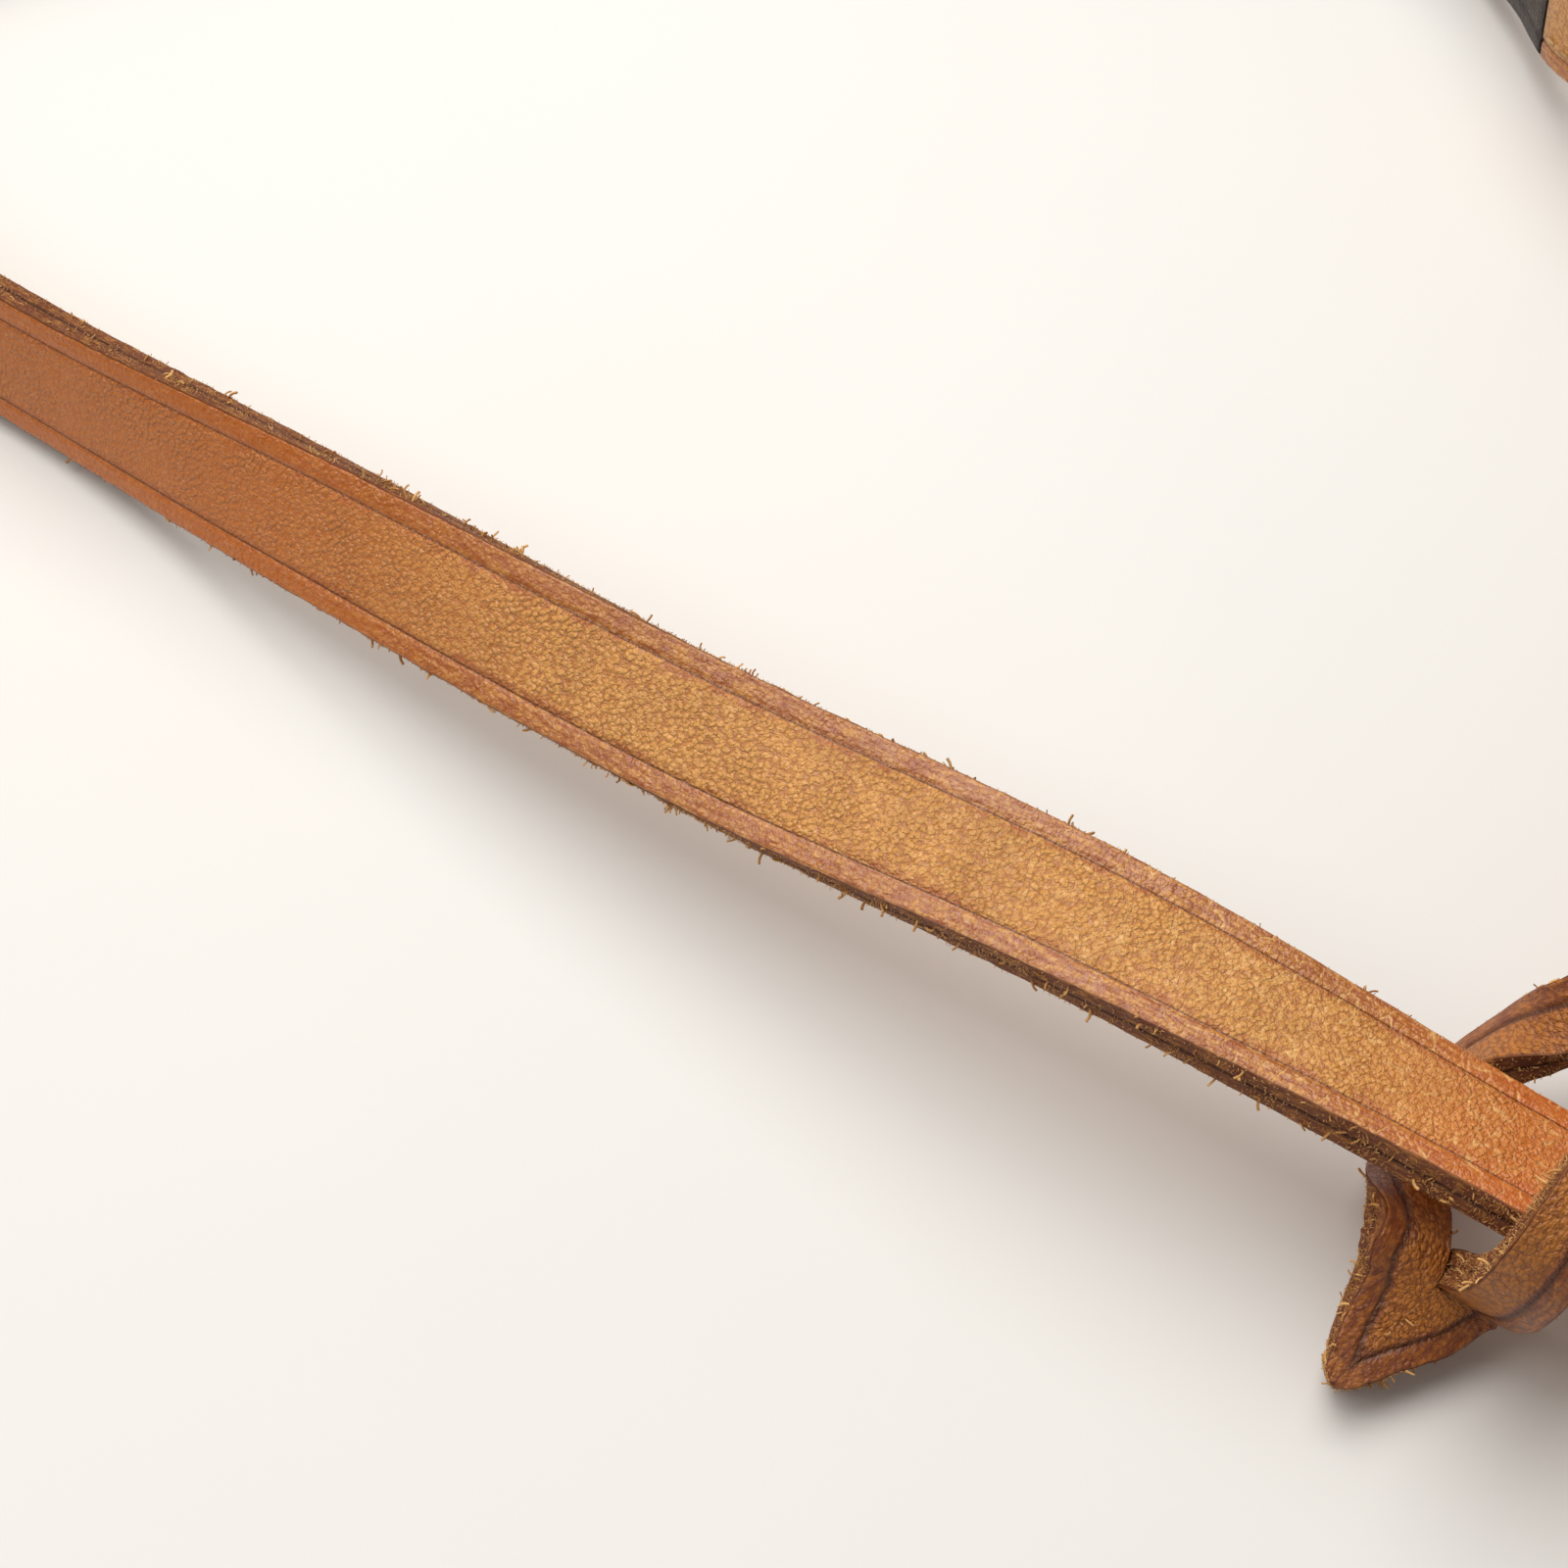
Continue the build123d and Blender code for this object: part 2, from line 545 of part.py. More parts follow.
def keepers():
    for s, width, skin, room, label in ((-15.6, 5.6, 1.3, 0.4, "fixed_keeper"), (-25.0, 5.0, 1.2, 0.5, "runner")):
        low, high = -BASE - PLY / 2 - room, tail_height(-14) + BASE + PLY / 2 + room
        half = STRAP_W / 2 + room
        plane = Plane(origin=at_buckle(s - width / 2, (low + high) / 2), x_dir=BILLET_OUT, z_dir=BILLET_DIR)
        with BuildPart() as band:
            with BuildSketch(plane):
                RectangleRounded(high - low + 2 * skin, 2 * (half + skin), 1.6)
                RectangleRounded(high - low, 2 * half, 0.5, mode=Mode.SUBTRACT)
            extrude(amount=width)
        save(band.part, label)


# ---- snap hook on the throat lash --------------------------------------------------------------
HOOK_R = 6.0              # centreline of the hook about the ring's top bar
BOLT_Z = SNAP_Z - HOOK_R
BOLT_R = 1.85
GUIDE_END = CHEEK_X - 10.0
HOOK_TIP = CHEEK_X - 4.0


def rod(x0, x1, radius, z, rounding=0.0):
    """A cylinder along X."""
    with BuildPart() as bar:
        with BuildSketch(Plane(origin=(x0, 0, z), z_dir=(1, 0, 0))):
            Circle(radius)
        extrude(amount=x1 - x0)
        if rounding:
            fillet(bar.edges().filter_by(GeomType.CIRCLE), rounding)
    return bar.part


def snap_eye():
    plane = Plane(origin=(SNAP_EYE_X + 4.75, 0, SNAP_Z))
    with BuildPart() as eye:
        add(wire_frame(plane, 4.75, 8.1, 2.4, SNAP_WIRE).part)
        add(rod(SNAP_EYE_X + 9.0, SNAP_EYE_X + 19.0, 1.9, SNAP_Z))
        add(rod(SNAP_EYE_X + 17.0, SNAP_EYE_X + 19.0, 3.0, SNAP_Z))
    save(eye.part, "snap_eye")


def snap_body():
    with BuildPart() as body:
        add(rod(SNAP_EYE_X + 11.4, SNAP_EYE_X + 22.5, 5.0, SNAP_Z, 1.0))
        add(rod(SNAP_EYE_X + 15.0, GUIDE_END, 3.5, BOLT_Z, 0.8))
        with BuildLine(Plane.XZ):
            a = Spline((SNAP_EYE_X + 18.0, SNAP_Z + 1.5), (SNAP_EYE_X + 27.0, SNAP_Z + 4.8),
                       (CHEEK_X - 2.0, SNAP_Z + HOOK_R), tangents=[(1, 0.35), (1, 0)])
            Line(a @ 1, (CHEEK_X, SNAP_Z + HOOK_R))
            CenterArc((CHEEK_X, SNAP_Z), HOOK_R, 90, -180)
            Line((CHEEK_X, SNAP_Z - HOOK_R), (HOOK_TIP, SNAP_Z - HOOK_R))
        with BuildSketch(Plane(origin=a @ 0, z_dir=a % 0)):
            Circle(2.2)
        sweep()
        with BuildSketch(Plane(origin=(SNAP_EYE_X + 11.0, 0, SNAP_Z), z_dir=(1, 0, 0))):
            Circle(1.9 + PIN_GAP)
        extrude(amount=7, mode=Mode.SUBTRACT)
        with BuildSketch(Plane(origin=(SNAP_EYE_X + 16.8, 0, SNAP_Z), z_dir=(1, 0, 0))):
            Circle(3.0 + PIN_GAP)
        extrude(amount=2.5, mode=Mode.SUBTRACT)
        with BuildSketch(Plane(origin=(SNAP_EYE_X + 21.0, 0, BOLT_Z), z_dir=(1, 0, 0))):
            Circle(BOLT_R + PIN_GAP)
        extrude(amount=20, mode=Mode.SUBTRACT)
        with BuildSketch(Plane(origin=(GUIDE_END - 8.3, 0, BOLT_Z), z_dir=(0, 0, -1), x_dir=(1, 0, 0))):
            SlotOverall(8.4, 2.7)
        extrude(amount=8, mode=Mode.SUBTRACT)
    save(body.part, "snap_body")


def snap_bolt():
    with BuildPart() as bolt:
        add(rod(GUIDE_END - 6.0, HOOK_TIP - 0.1, BOLT_R, BOLT_Z, 0.3))
        with BuildSketch(Plane(origin=(GUIDE_END - 5.6, 0, BOLT_Z), z_dir=(0, 0, -1))):
            Circle(1.2)
        extrude(amount=5.6)
        with BuildSketch(Plane(origin=(GUIDE_END - 5.6, 0, BOLT_Z - 5.0), z_dir=(0, 0, -1))):
            Circle(2.2)
        extrude(amount=1.4)
    save(bolt.part, "snap_bolt")


throat_lash()
jaw_strap()
cheek_rings()
nose_rings()
chin_ring()
nose_strap()
nose_lining()
chin_straps()
cheekpieces()
headpiece()
buckle_strap()
buckle()
keepers()
snap_eye()
snap_body()
snap_bolt()
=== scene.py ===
# %% [markdown]
# # A fine leather headcollar
# A headcollar is the set of straps that a horse wears on its head in the stable. This one is narrow
# and made of vegetable-tanned leather: every strap is two plies of leather glued back to back, with
# a line creased along each border and the sides left as raw cut edges. It lies open on a table, jaw
# side up, with the throat lash threaded through a slit in the jaw strap.
#
# The CAD frame holds the true sizes, the rings and the moving parts. Here every strap is built again
# as leather, because leather is all in its surface: grain, creases, fibres and a soft sheen.
# %% Open the frame
import math
from bisect import bisect_left

import bpy
from mathutils import Matrix, Vector, noise


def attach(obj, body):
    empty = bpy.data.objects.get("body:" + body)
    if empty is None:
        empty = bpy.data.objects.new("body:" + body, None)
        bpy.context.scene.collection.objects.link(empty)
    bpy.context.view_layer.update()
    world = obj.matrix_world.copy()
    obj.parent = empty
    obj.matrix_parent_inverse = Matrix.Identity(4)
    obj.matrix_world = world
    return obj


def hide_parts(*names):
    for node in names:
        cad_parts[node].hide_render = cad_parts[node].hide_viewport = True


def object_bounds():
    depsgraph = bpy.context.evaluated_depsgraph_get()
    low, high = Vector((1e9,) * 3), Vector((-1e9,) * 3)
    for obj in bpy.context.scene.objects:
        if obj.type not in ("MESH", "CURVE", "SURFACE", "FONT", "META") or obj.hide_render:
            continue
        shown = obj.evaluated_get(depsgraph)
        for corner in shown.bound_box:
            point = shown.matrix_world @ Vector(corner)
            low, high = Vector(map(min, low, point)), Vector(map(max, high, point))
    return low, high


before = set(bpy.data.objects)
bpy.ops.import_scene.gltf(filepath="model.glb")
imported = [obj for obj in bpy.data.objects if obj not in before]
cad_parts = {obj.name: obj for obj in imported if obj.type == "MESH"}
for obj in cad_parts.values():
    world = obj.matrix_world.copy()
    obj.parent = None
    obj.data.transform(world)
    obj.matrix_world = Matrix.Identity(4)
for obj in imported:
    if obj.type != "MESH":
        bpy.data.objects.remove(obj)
cad_low, cad_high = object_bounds()
print("CAD box in millimetres:", [round((b - a) * 1000, 1) for a, b in zip(cad_low, cad_high)])

# %% [markdown]
# ## Working in millimetres
# A saddler thinks in millimetres, and so do the strap routes below. They are drawn from the point
# where the throat lash goes through the slit. `SHIFT` moves that point to its place in the frame,
# and `MM` turns the result into Blender's metres. Both happen once, when a mesh is made, so that
# every finished object sits at the origin with its place in its mesh.
# %% Sizes that the whole headcollar shares
MM = 0.001
SHIFT = Vector((-2.154, 12.378, 0.0))
STRAP_W = 12.0
NOSE_W = 16.0
PLY = 1.57
GLUE = 0.06
BASE = (PLY + GLUE) / 2
LOOP_GAP = 0.30
ROUND_GAP = 1.00
ROUND_W = 9.0
TURN = 10.0
TURN_END = 2.5
WIRE = 4.0
NOSE_WIRE = 4.5
UP = Vector((0.0, 0.0, 1.0))
STAGE_HEIGHT = cad_low.z


def in_row(point):
    """A drawing point in millimetres, as a place in the frame in metres."""
    return (Vector(point) + SHIFT) * MM


def placed(name, data):
    """A new object in the scene that shows the mesh, the lamp or the camera in data."""
    made = bpy.data.objects.new(name, data)
    bpy.context.scene.collection.objects.link(made)
    return made


print("a strap is", round(2 * PLY + GLUE, 2), "mm thick and", STRAP_W, "mm wide")

# %% [markdown]
# ## Where the viewer stands
# The straps are narrow, so the view is close: about a hand's length above the left half of the
# throat lash, looking down on it steeply. A short distance and a modest lens angle give the strong
# foreshortening that makes a small thing look near.
# %% The camera
VIEW_AZIMUTH = math.radians(33.7)
VIEW_HEIGHT = math.radians(55.9)
VIEW_DISTANCE = 255.0
VIEW_POINT = Vector((-62.7, -3.5, 14.0))
VIEW_ANGLE = math.radians(27.0)

backwards = Vector((math.sin(VIEW_AZIMUTH) * math.cos(VIEW_HEIGHT),
                    -math.cos(VIEW_AZIMUTH) * math.cos(VIEW_HEIGHT), math.sin(VIEW_HEIGHT)))
lens = bpy.data.cameras.new("table_camera")
lens.angle = VIEW_ANGLE
lens.clip_start = 0.01
camera = placed("table_camera", lens)
camera.location = in_row(VIEW_POINT + backwards * VIEW_DISTANCE)
camera.rotation_euler = backwards.to_track_quat("Z", "Y").to_euler()
bpy.context.scene.camera = camera
print("camera at", [round(c, 3) for c in camera.location])

# %% [markdown]
# ## Node helpers
# A material in Blender is a graph of nodes. Building one by hand in Python takes three lines for
# each node, so one helper adds a node, fills its sockets and links whatever it is given that is
# itself a socket. With that, a shader reads like a formula.
# %% Add a node in one line
def node(tree, kind, inputs=None, **settings):
    """Adds a node. An input is a plain value, or another node's output to link."""
    made = tree.nodes.new(kind)
    for key, value in settings.items():
        setattr(made, key, value)
    for key, value in (inputs or {}).items():
        if isinstance(value, bpy.types.NodeSocket):
            tree.links.new(value, made.inputs[key])
        else:
            made.inputs[key].default_value = value
    return made


def maths(tree, operation, a, b=0.0, clamp=False):
    return node(tree, "ShaderNodeMath", {0: a, 1: b}, operation=operation, use_clamp=clamp).outputs[0]


def spread(tree, value, low, high, out_low=0.0, out_high=1.0):
    """A smooth step: out_low below low, out_high above high."""
    return node(tree, "ShaderNodeMapRange", {"Value": value, "From Min": low, "From Max": high,
                                             "To Min": out_low, "To Max": out_high},
                interpolation_type="SMOOTHSTEP").outputs[0]


def mixed(tree, share, a, b):
    return node(tree, "ShaderNodeMix", {0: share, 6: a, 7: b}, data_type="RGBA").outputs[2]


def noisy(tree, vector, scale, detail=2.0, rough=0.5):
    return node(tree, "ShaderNodeTexNoise", {"Vector": vector, "Scale": scale, "Detail": detail,
                                             "Roughness": rough}).outputs["Fac"]


def stretched(tree, vector, scale):
    return node(tree, "ShaderNodeVectorMath", {0: vector, 1: scale}, operation="MULTIPLY").outputs[0]


def new_group(name, inputs, outputs):
    """An empty shader node group with named sockets."""
    tree = bpy.data.node_groups.new(name, "ShaderNodeTree")
    for label, kind, value in inputs:
        socket = tree.interface.new_socket(label, in_out="INPUT", socket_type=kind)
        if value is not None:
            socket.default_value = value
    for label, kind in outputs:
        tree.interface.new_socket(label, in_out="OUTPUT", socket_type=kind)
    return tree, tree.nodes.new("NodeGroupInput").outputs, tree.nodes.new("NodeGroupOutput").inputs


FLOAT, VECTOR = "NodeSocketFloat", "NodeSocketVector"

# %% [markdown]
# ## Leather grain
# The grain side of leather is a carpet of tiny pebbles, less than half a millimetre across, parted by
# fine valleys, with darker pores here and there. A Voronoi texture is the natural start, because
# its cells are packed like skin cells. Two sizes of cell are mixed, and slow noise makes the grain
# bolder in some patches, as it is on a real hide. The group gives only values: a height for the
# bump, a mask for the pores, and a mask of the valleys, which the leather paints darker as shade.
# %% The pebbled grain group
grain, given, out = new_group(
    "pebbled_grain", [("Vector", VECTOR, None), ("Pebble", FLOAT, 0.46)],
    [("Height", FLOAT), ("Valley_Shade", FLOAT), ("Pore", FLOAT)])
bend = node(grain, "ShaderNodeTexNoise", {"Vector": given["Vector"], "Scale": 1.6, "Detail": 1.0})
warped = node(grain, "ShaderNodeVectorMath", {0: bend.outputs["Color"], 1: (0.34, 0.34, 0.34),
                                              2: given["Vector"]}, operation="MULTIPLY_ADD").outputs[0]
cells = maths(grain, "DIVIDE", 1.0, given["Pebble"])
pebble = node(grain, "ShaderNodeTexVoronoi", {"Vector": warped, "Scale": cells}).outputs["Distance"]
small = node(grain, "ShaderNodeTexVoronoi", {"Vector": warped, "Scale": maths(grain, "MULTIPLY", cells, 2.3)})
dome = spread(grain, pebble, 0.15, 0.80, 1.0, 0.0)
pimple = spread(grain, small.outputs["Distance"], 0.10, 0.80, 1.0, 0.0)
patches = spread(grain, noisy(grain, given["Vector"], 0.22, 3.0), 0.35, 0.65, 0.45, 1.0)
tops = maths(grain, "ADD", maths(grain, "MULTIPLY", pimple, 0.35), maths(grain, "MULTIPLY", dome, patches))
grain.links.new(tops, out["Height"])
# Valley_Shade: a mask of the dips between the pebbles, where the leather material paints shade.
grain.links.new(spread(grain, dome, 0.0, 0.55, 1.0, 0.0), out["Valley_Shade"])
pores = maths(grain, "MULTIPLY", spread(grain, small.outputs["Distance"], 0.45, 0.85),
              spread(grain, noisy(grain, given["Vector"], 1.1, 2.0), 0.44, 0.62))
grain.links.new(pores, out["Pore"])
print("grain group with", len(grain.nodes), "nodes")

# %% [markdown]
# ## Stretch wrinkles
# Where a strap has been pulled through a slit many times, its top layer breaks into a net of thin
# pale lines, mostly across the strap. The edges of large Voronoi cells, squeezed along the strap
# and bent by noise, make that net, and a patchy mask breaks the lines up.
# %% The wrinkle group
wrinkles, given, out = new_group("stretch_wrinkles", [("Vector", VECTOR, None), ("Cell", FLOAT, 1.7)],
                                 [("Line", FLOAT)])
bend = node(wrinkles, "ShaderNodeTexNoise", {"Vector": given["Vector"], "Scale": 0.9, "Detail": 3.0})
warped = node(wrinkles, "ShaderNodeVectorMath", {0: bend.outputs["Color"], 1: (1.5, 1.5, 0.0),
                                                 2: given["Vector"]}, operation="MULTIPLY_ADD").outputs[0]
squeezed = stretched(wrinkles, warped, (1.0, 0.62, 1.0))
net = node(wrinkles, "ShaderNodeTexVoronoi",
           {"Vector": squeezed, "Scale": maths(wrinkles, "DIVIDE", 1.0, given["Cell"])},
           feature="DISTANCE_TO_EDGE").outputs["Distance"]
broken = spread(wrinkles, noisy(wrinkles, given["Vector"], 0.8, 2.0), 0.42, 0.62)
thin = spread(wrinkles, net, 0.0, 0.075, 1.0, 0.0)
wrinkles.links.new(maths(wrinkles, "MULTIPLY", thin, broken), out["Line"])
print("wrinkle group with", len(wrinkles.nodes), "nodes")

# %% [markdown]
# ## The creased border
# A saddler runs a hot creasing iron along each edge. It leaves a thin dark line two millimetres in
# and a burnished, redder border outside it; just inside the line a band of painted shade is laid
# along the groove. Each strap mesh carries an attribute, `rim`: how many millimetres a point is from
# the corner, positive on the face and negative down the cut edge. Masks made from it follow every
# strap, whatever its width.
# %% The border group
CREASE_AT = 2.0
border, given, out = new_group(
    "creased_border", [("Rim", FLOAT, 3.0), ("Vector", VECTOR, None), ("Line", FLOAT, 0.15)],
    [("Border", FLOAT), ("Crease", FLOAT), ("Crease_Shade", FLOAT), ("Face", FLOAT)])
wobble = maths(border, "ADD", maths(border, "MULTIPLY", noisy(border, given["Vector"], 0.7, 3.0), 0.30),
               given["Rim"])
waver = maths(border, "SUBTRACT", wobble, 0.15)
border.links.new(spread(border, waver, CREASE_AT - 0.15, CREASE_AT + 0.10, 1.0, 0.0), out["Border"])
from_line = maths(border, "ABSOLUTE", maths(border, "SUBTRACT", given["Rim"], CREASE_AT))
border.links.new(spread(border, from_line, 0.02, given["Line"], 1.0, 0.0), out["Crease"])
# Painted shade: a soft dark band just inside the crease line, broken up into patches by noise.
inside = maths(border, "SUBTRACT", wobble, CREASE_AT + 0.15)
crease_shade = maths(border, "MULTIPLY", spread(border, inside, -0.15, 0.1),
               spread(border, inside, 0.25, 1.0, 1.0, 0.0))
shade_breakup = spread(border, noisy(border, given["Vector"], 0.45, 3.0), 0.40, 0.60)
border.links.new(maths(border, "MULTIPLY", crease_shade, shade_breakup), out["Crease_Shade"])
border.links.new(spread(border, given["Rim"], -0.16, 0.10), out["Face"])
print("border group with", len(border.nodes), "nodes")

# %% [markdown]
# ## The raw cut edge
# The sides of the straps are not painted. A knife has opened the fibres, so the edge is dark where
# it is pressed and dirty, pale where fibres are torn up, and darkest along the glue line between
# the two plies. Noise drawn out along the strap looks like those layers of fibre.
# %% The cut edge group
cut_side, given, out = new_group("raw_cut_edge", [("Vector", VECTOR, None), ("Rim", FLOAT, -0.5)],
                                 [("Torn", FLOAT), ("Glue", FLOAT), ("Height", FLOAT)])
layers = noisy(cut_side, stretched(cut_side, given["Vector"], (0.8, 3.2, 3.2)), 1.0, 5.0, 0.65)
tufts = noisy(cut_side, given["Vector"], 0.55, 4.0, 0.6)
cut_side.links.new(maths(cut_side, "MULTIPLY", spread(cut_side, layers, 0.42, 0.64),
                         spread(cut_side, tufts, 0.36, 0.60)), out["Torn"])
cut_side.links.new(spread(cut_side, given["Rim"], -PLY + 0.30, -PLY + 0.05), out["Glue"])
cut_side.links.new(maths(cut_side, "ADD", layers, tufts), out["Height"])
print("cut edge group with", len(cut_side.nodes), "nodes")


# %% [markdown]
# ## One recipe for all the leather
# The tan outer leather and the dark lining leather are the same material with other colours; the
# jaw strap's tan is a darker copy of it, as painted shade. The strap's own UV map, in millimetres
# along and across it, carries the patterns, so they bend with the strap. Colour goes from the panel,
# painted darker in the grain's valleys as shade, to the border, a band of painted shade beside the
# crease and the crease itself, then over the corner to the cut edge. `worn` names a stretch along
# the strap where the wrinkles gather; before it the colour is painted darker and browner, as shade
# where the strap turns on edge away from the lamp, and beyond it the colour turns redder and darker.
# %% The leather material
def placed_group(tree, group, inputs):
    return node(tree, "ShaderNodeGroup", inputs, node_tree=group).outputs


def leather(name, panel, deep, edge, torn, gloss=0.31, line=0.15, worn=None, own_coordinates=False):
    """panel and deep are the light and dark tones of the face, edge and torn those of the cut side."""
    material = bpy.data.materials.new(name)
    material.use_nodes = True
    tree = material.node_tree
    shader = tree.nodes["Principled BSDF"]
    if own_coordinates:
        where = stretched(tree, node(tree, "ShaderNodeTexCoord").outputs["Object"], (1000.0,) * 3)
        rim = 4.0
    else:
        where = stretched(tree, node(tree, "ShaderNodeUVMap", uv_map="strap").outputs[0], (100.0, 100.0, 0.0))
        rim = node(tree, "ShaderNodeAttribute", attribute_name="rim").outputs["Fac"]
    skin_side = placed_group(tree, grain, {"Vector": where})
    lines = placed_group(tree, wrinkles, {"Vector": where})["Line"]
    frame_marks = placed_group(tree, border, {"Vector": where, "Rim": rim, "Line": line})
    side = placed_group(tree, cut_side, {"Vector": where, "Rim": rim})

    mottled = spread(tree, noisy(tree, where, 0.16, 5.0, 0.6), 0.33, 0.67)
    colour = mixed(tree, mottled, [c * 0.86 for c in panel[:3]] + [1.0], panel)
    # Painted shade: the grain's valleys are coloured towards the deep tone.
    colour = mixed(tree, maths(tree, "MULTIPLY", skin_side["Valley_Shade"], 0.62), colour, deep)
    colour = mixed(tree, maths(tree, "MULTIPLY", skin_side["Pore"], 0.55), colour, deep)
    red = [deep[0] * 0.92, deep[1] * 0.86, deep[2] * 1.6, 1.0]
    drawn_out = noisy(tree, stretched(tree, where, (0.5, 2.4, 1.0)), 1.0, 5.0, 0.65)
    streaks = spread(tree, drawn_out, 0.38, 0.62, 0.20, 0.98)
    colour = mixed(tree, maths(tree, "MULTIPLY", frame_marks["Border"], streaks), colour, red)
    # The colour of the painted shade beside the crease, a plum tone of the deep colour.
    crease_shade_colour = [deep[0] * 1.1, deep[1] * 0.95, deep[2] * 3.2, 1.0]
    colour = mixed(tree, maths(tree, "MULTIPLY", frame_marks["Crease_Shade"], 0.62), colour, crease_shade_colour)
    if worn:
        along = node(tree, "ShaderNodeSeparateXYZ", {0: where}).outputs["X"]
        there = maths(tree, "MULTIPLY", spread(tree, along, worn[0], worn[1], 0.10, 1.0),
                      spread(tree, along, worn[2], worn[3], 1.0, 0.25))
        lines = maths(tree, "MULTIPLY", lines, there)
        # Painted shade: before the worn stretch the strap is coloured darker and browner, where it turns on
        # edge away from the lamp.
        off_end_shade = spread(tree, along, worn[0] - 58.0, worn[0] - 14.0, 0.80, 0.0)
        colour = mixed(tree, off_end_shade, colour, [panel[0] * 0.68, panel[1] * 0.36, panel[2] * 0.12, 1.0])
        # The colour turns redder and darker from just before the slit onwards, to the strap's end.
        deeper_past_slit = maths(tree, "MULTIPLY", spread(tree, along, worn[1] + 5.0, worn[1] + 27.0), 0.60)
        colour = mixed(tree, deeper_past_slit, colour, [panel[0] * 0.82, panel[1] * 0.38, panel[2] * 0.14, 1.0])
    else:
        lines = maths(tree, "MULTIPLY", lines, 0.35)
    pale = [min(1.0, panel[0] * 1.25), panel[1] * 1.55, panel[2] * 2.4, 1.0]
    colour = mixed(tree, maths(tree, "MULTIPLY", lines, 0.60), colour, pale)
    colour = mixed(tree, maths(tree, "MULTIPLY", frame_marks["Crease"], 0.85), colour,
                   [c * 0.40 for c in deep[:3]] + [1.0])
    side_colour = mixed(tree, maths(tree, "MULTIPLY", side["Torn"], 0.65), edge, torn)
    side_colour = mixed(tree, maths(tree, "MULTIPLY", side["Glue"], 0.60), side_colour,
                        [c * 0.25 for c in edge[:3]] + [1.0])
    colour = mixed(tree, frame_marks["Face"], side_colour, colour)
    tree.links.new(colour, shader.inputs["Base Color"])

    rubbed = spread(tree, noisy(tree, where, 0.5, 4.0), 0.30, 0.70, gloss - 0.07, gloss + 0.10)
    rubbed = maths(tree, "SUBTRACT", rubbed, maths(tree, "MULTIPLY", frame_marks["Border"], 0.04))
    dull = maths(tree, "SUBTRACT", 1.0, frame_marks["Face"])
    rubbed = maths(tree, "ADD", rubbed, maths(tree, "MULTIPLY", dull, 0.40), clamp=True)
    tree.links.new(rubbed, shader.inputs["Roughness"])
    shader.inputs["IOR"].default_value = 1.55
    shader.inputs["Coat Roughness"].default_value = 0.30
    tree.links.new(maths(tree, "MULTIPLY", frame_marks["Face"], 0.10), shader.inputs["Coat Weight"])

    pressed = spread(tree, frame_marks["Border"], 0.0, 1.0, 1.0, 0.45)
    relief = maths(tree, "MULTIPLY", skin_side["Height"], pressed)
    relief = maths(tree, "SUBTRACT", relief, maths(tree, "MULTIPLY", lines, 0.30))
    relief = maths(tree, "MULTIPLY", relief, frame_marks["Face"])
    torn_up = maths(tree, "MULTIPLY", maths(tree, "MULTIPLY", side["Height"], dull), 1.6)
    relief = maths(tree, "ADD", relief, torn_up)
    bump = node(tree, "ShaderNodeBump", {"Height": relief, "Strength": 1.0, "Distance": 0.00017})
    tree.links.new(bump.outputs[0], shader.inputs["Normal"])
    return material


TAN = (0.77, 0.355, 0.080, 1.0)
TAN_DEEP = (0.370, 0.095, 0.008, 1.0)
EDGE = (0.165, 0.036, 0.006, 1.0)
TORN = (0.62, 0.255, 0.045, 1.0)
lash_leather = leather("lash_tan_leather", TAN, TAN_DEEP, EDGE, TORN, worn=(165.0, 205.0, 228.0, 250.0))
tan_leather = leather("strap_tan_leather", TAN, TAN_DEEP, EDGE, TORN)
# The jaw strap's leather is a darker copy of the tan with a broader dark crease line: painted shade for the
# strap that lies low beside and under the throat lash.
jaw_shaded_leather = leather("jaw_leather_painted_shade", (0.52, 0.170, 0.017, 1.0), (0.20, 0.048, 0.008, 1.0), EDGE, TORN,
                      gloss=0.50, line=0.55)
dark_leather = leather("dark_lining_leather", (0.052, 0.026, 0.014, 1.0), (0.020, 0.010, 0.007, 1.0),
                       (0.060, 0.026, 0.012, 1.0), (0.20, 0.11, 0.05, 1.0), gloss=0.50)
pad_leather = leather("soft_pad_leather", (0.060, 0.030, 0.016, 1.0), (0.022, 0.011, 0.007, 1.0),
                      EDGE, TORN, gloss=0.52, own_coordinates=True)
print("leathers:", [m.name for m in (lash_leather, tan_leather, jaw_shaded_leather, dark_leather, pad_leather)])


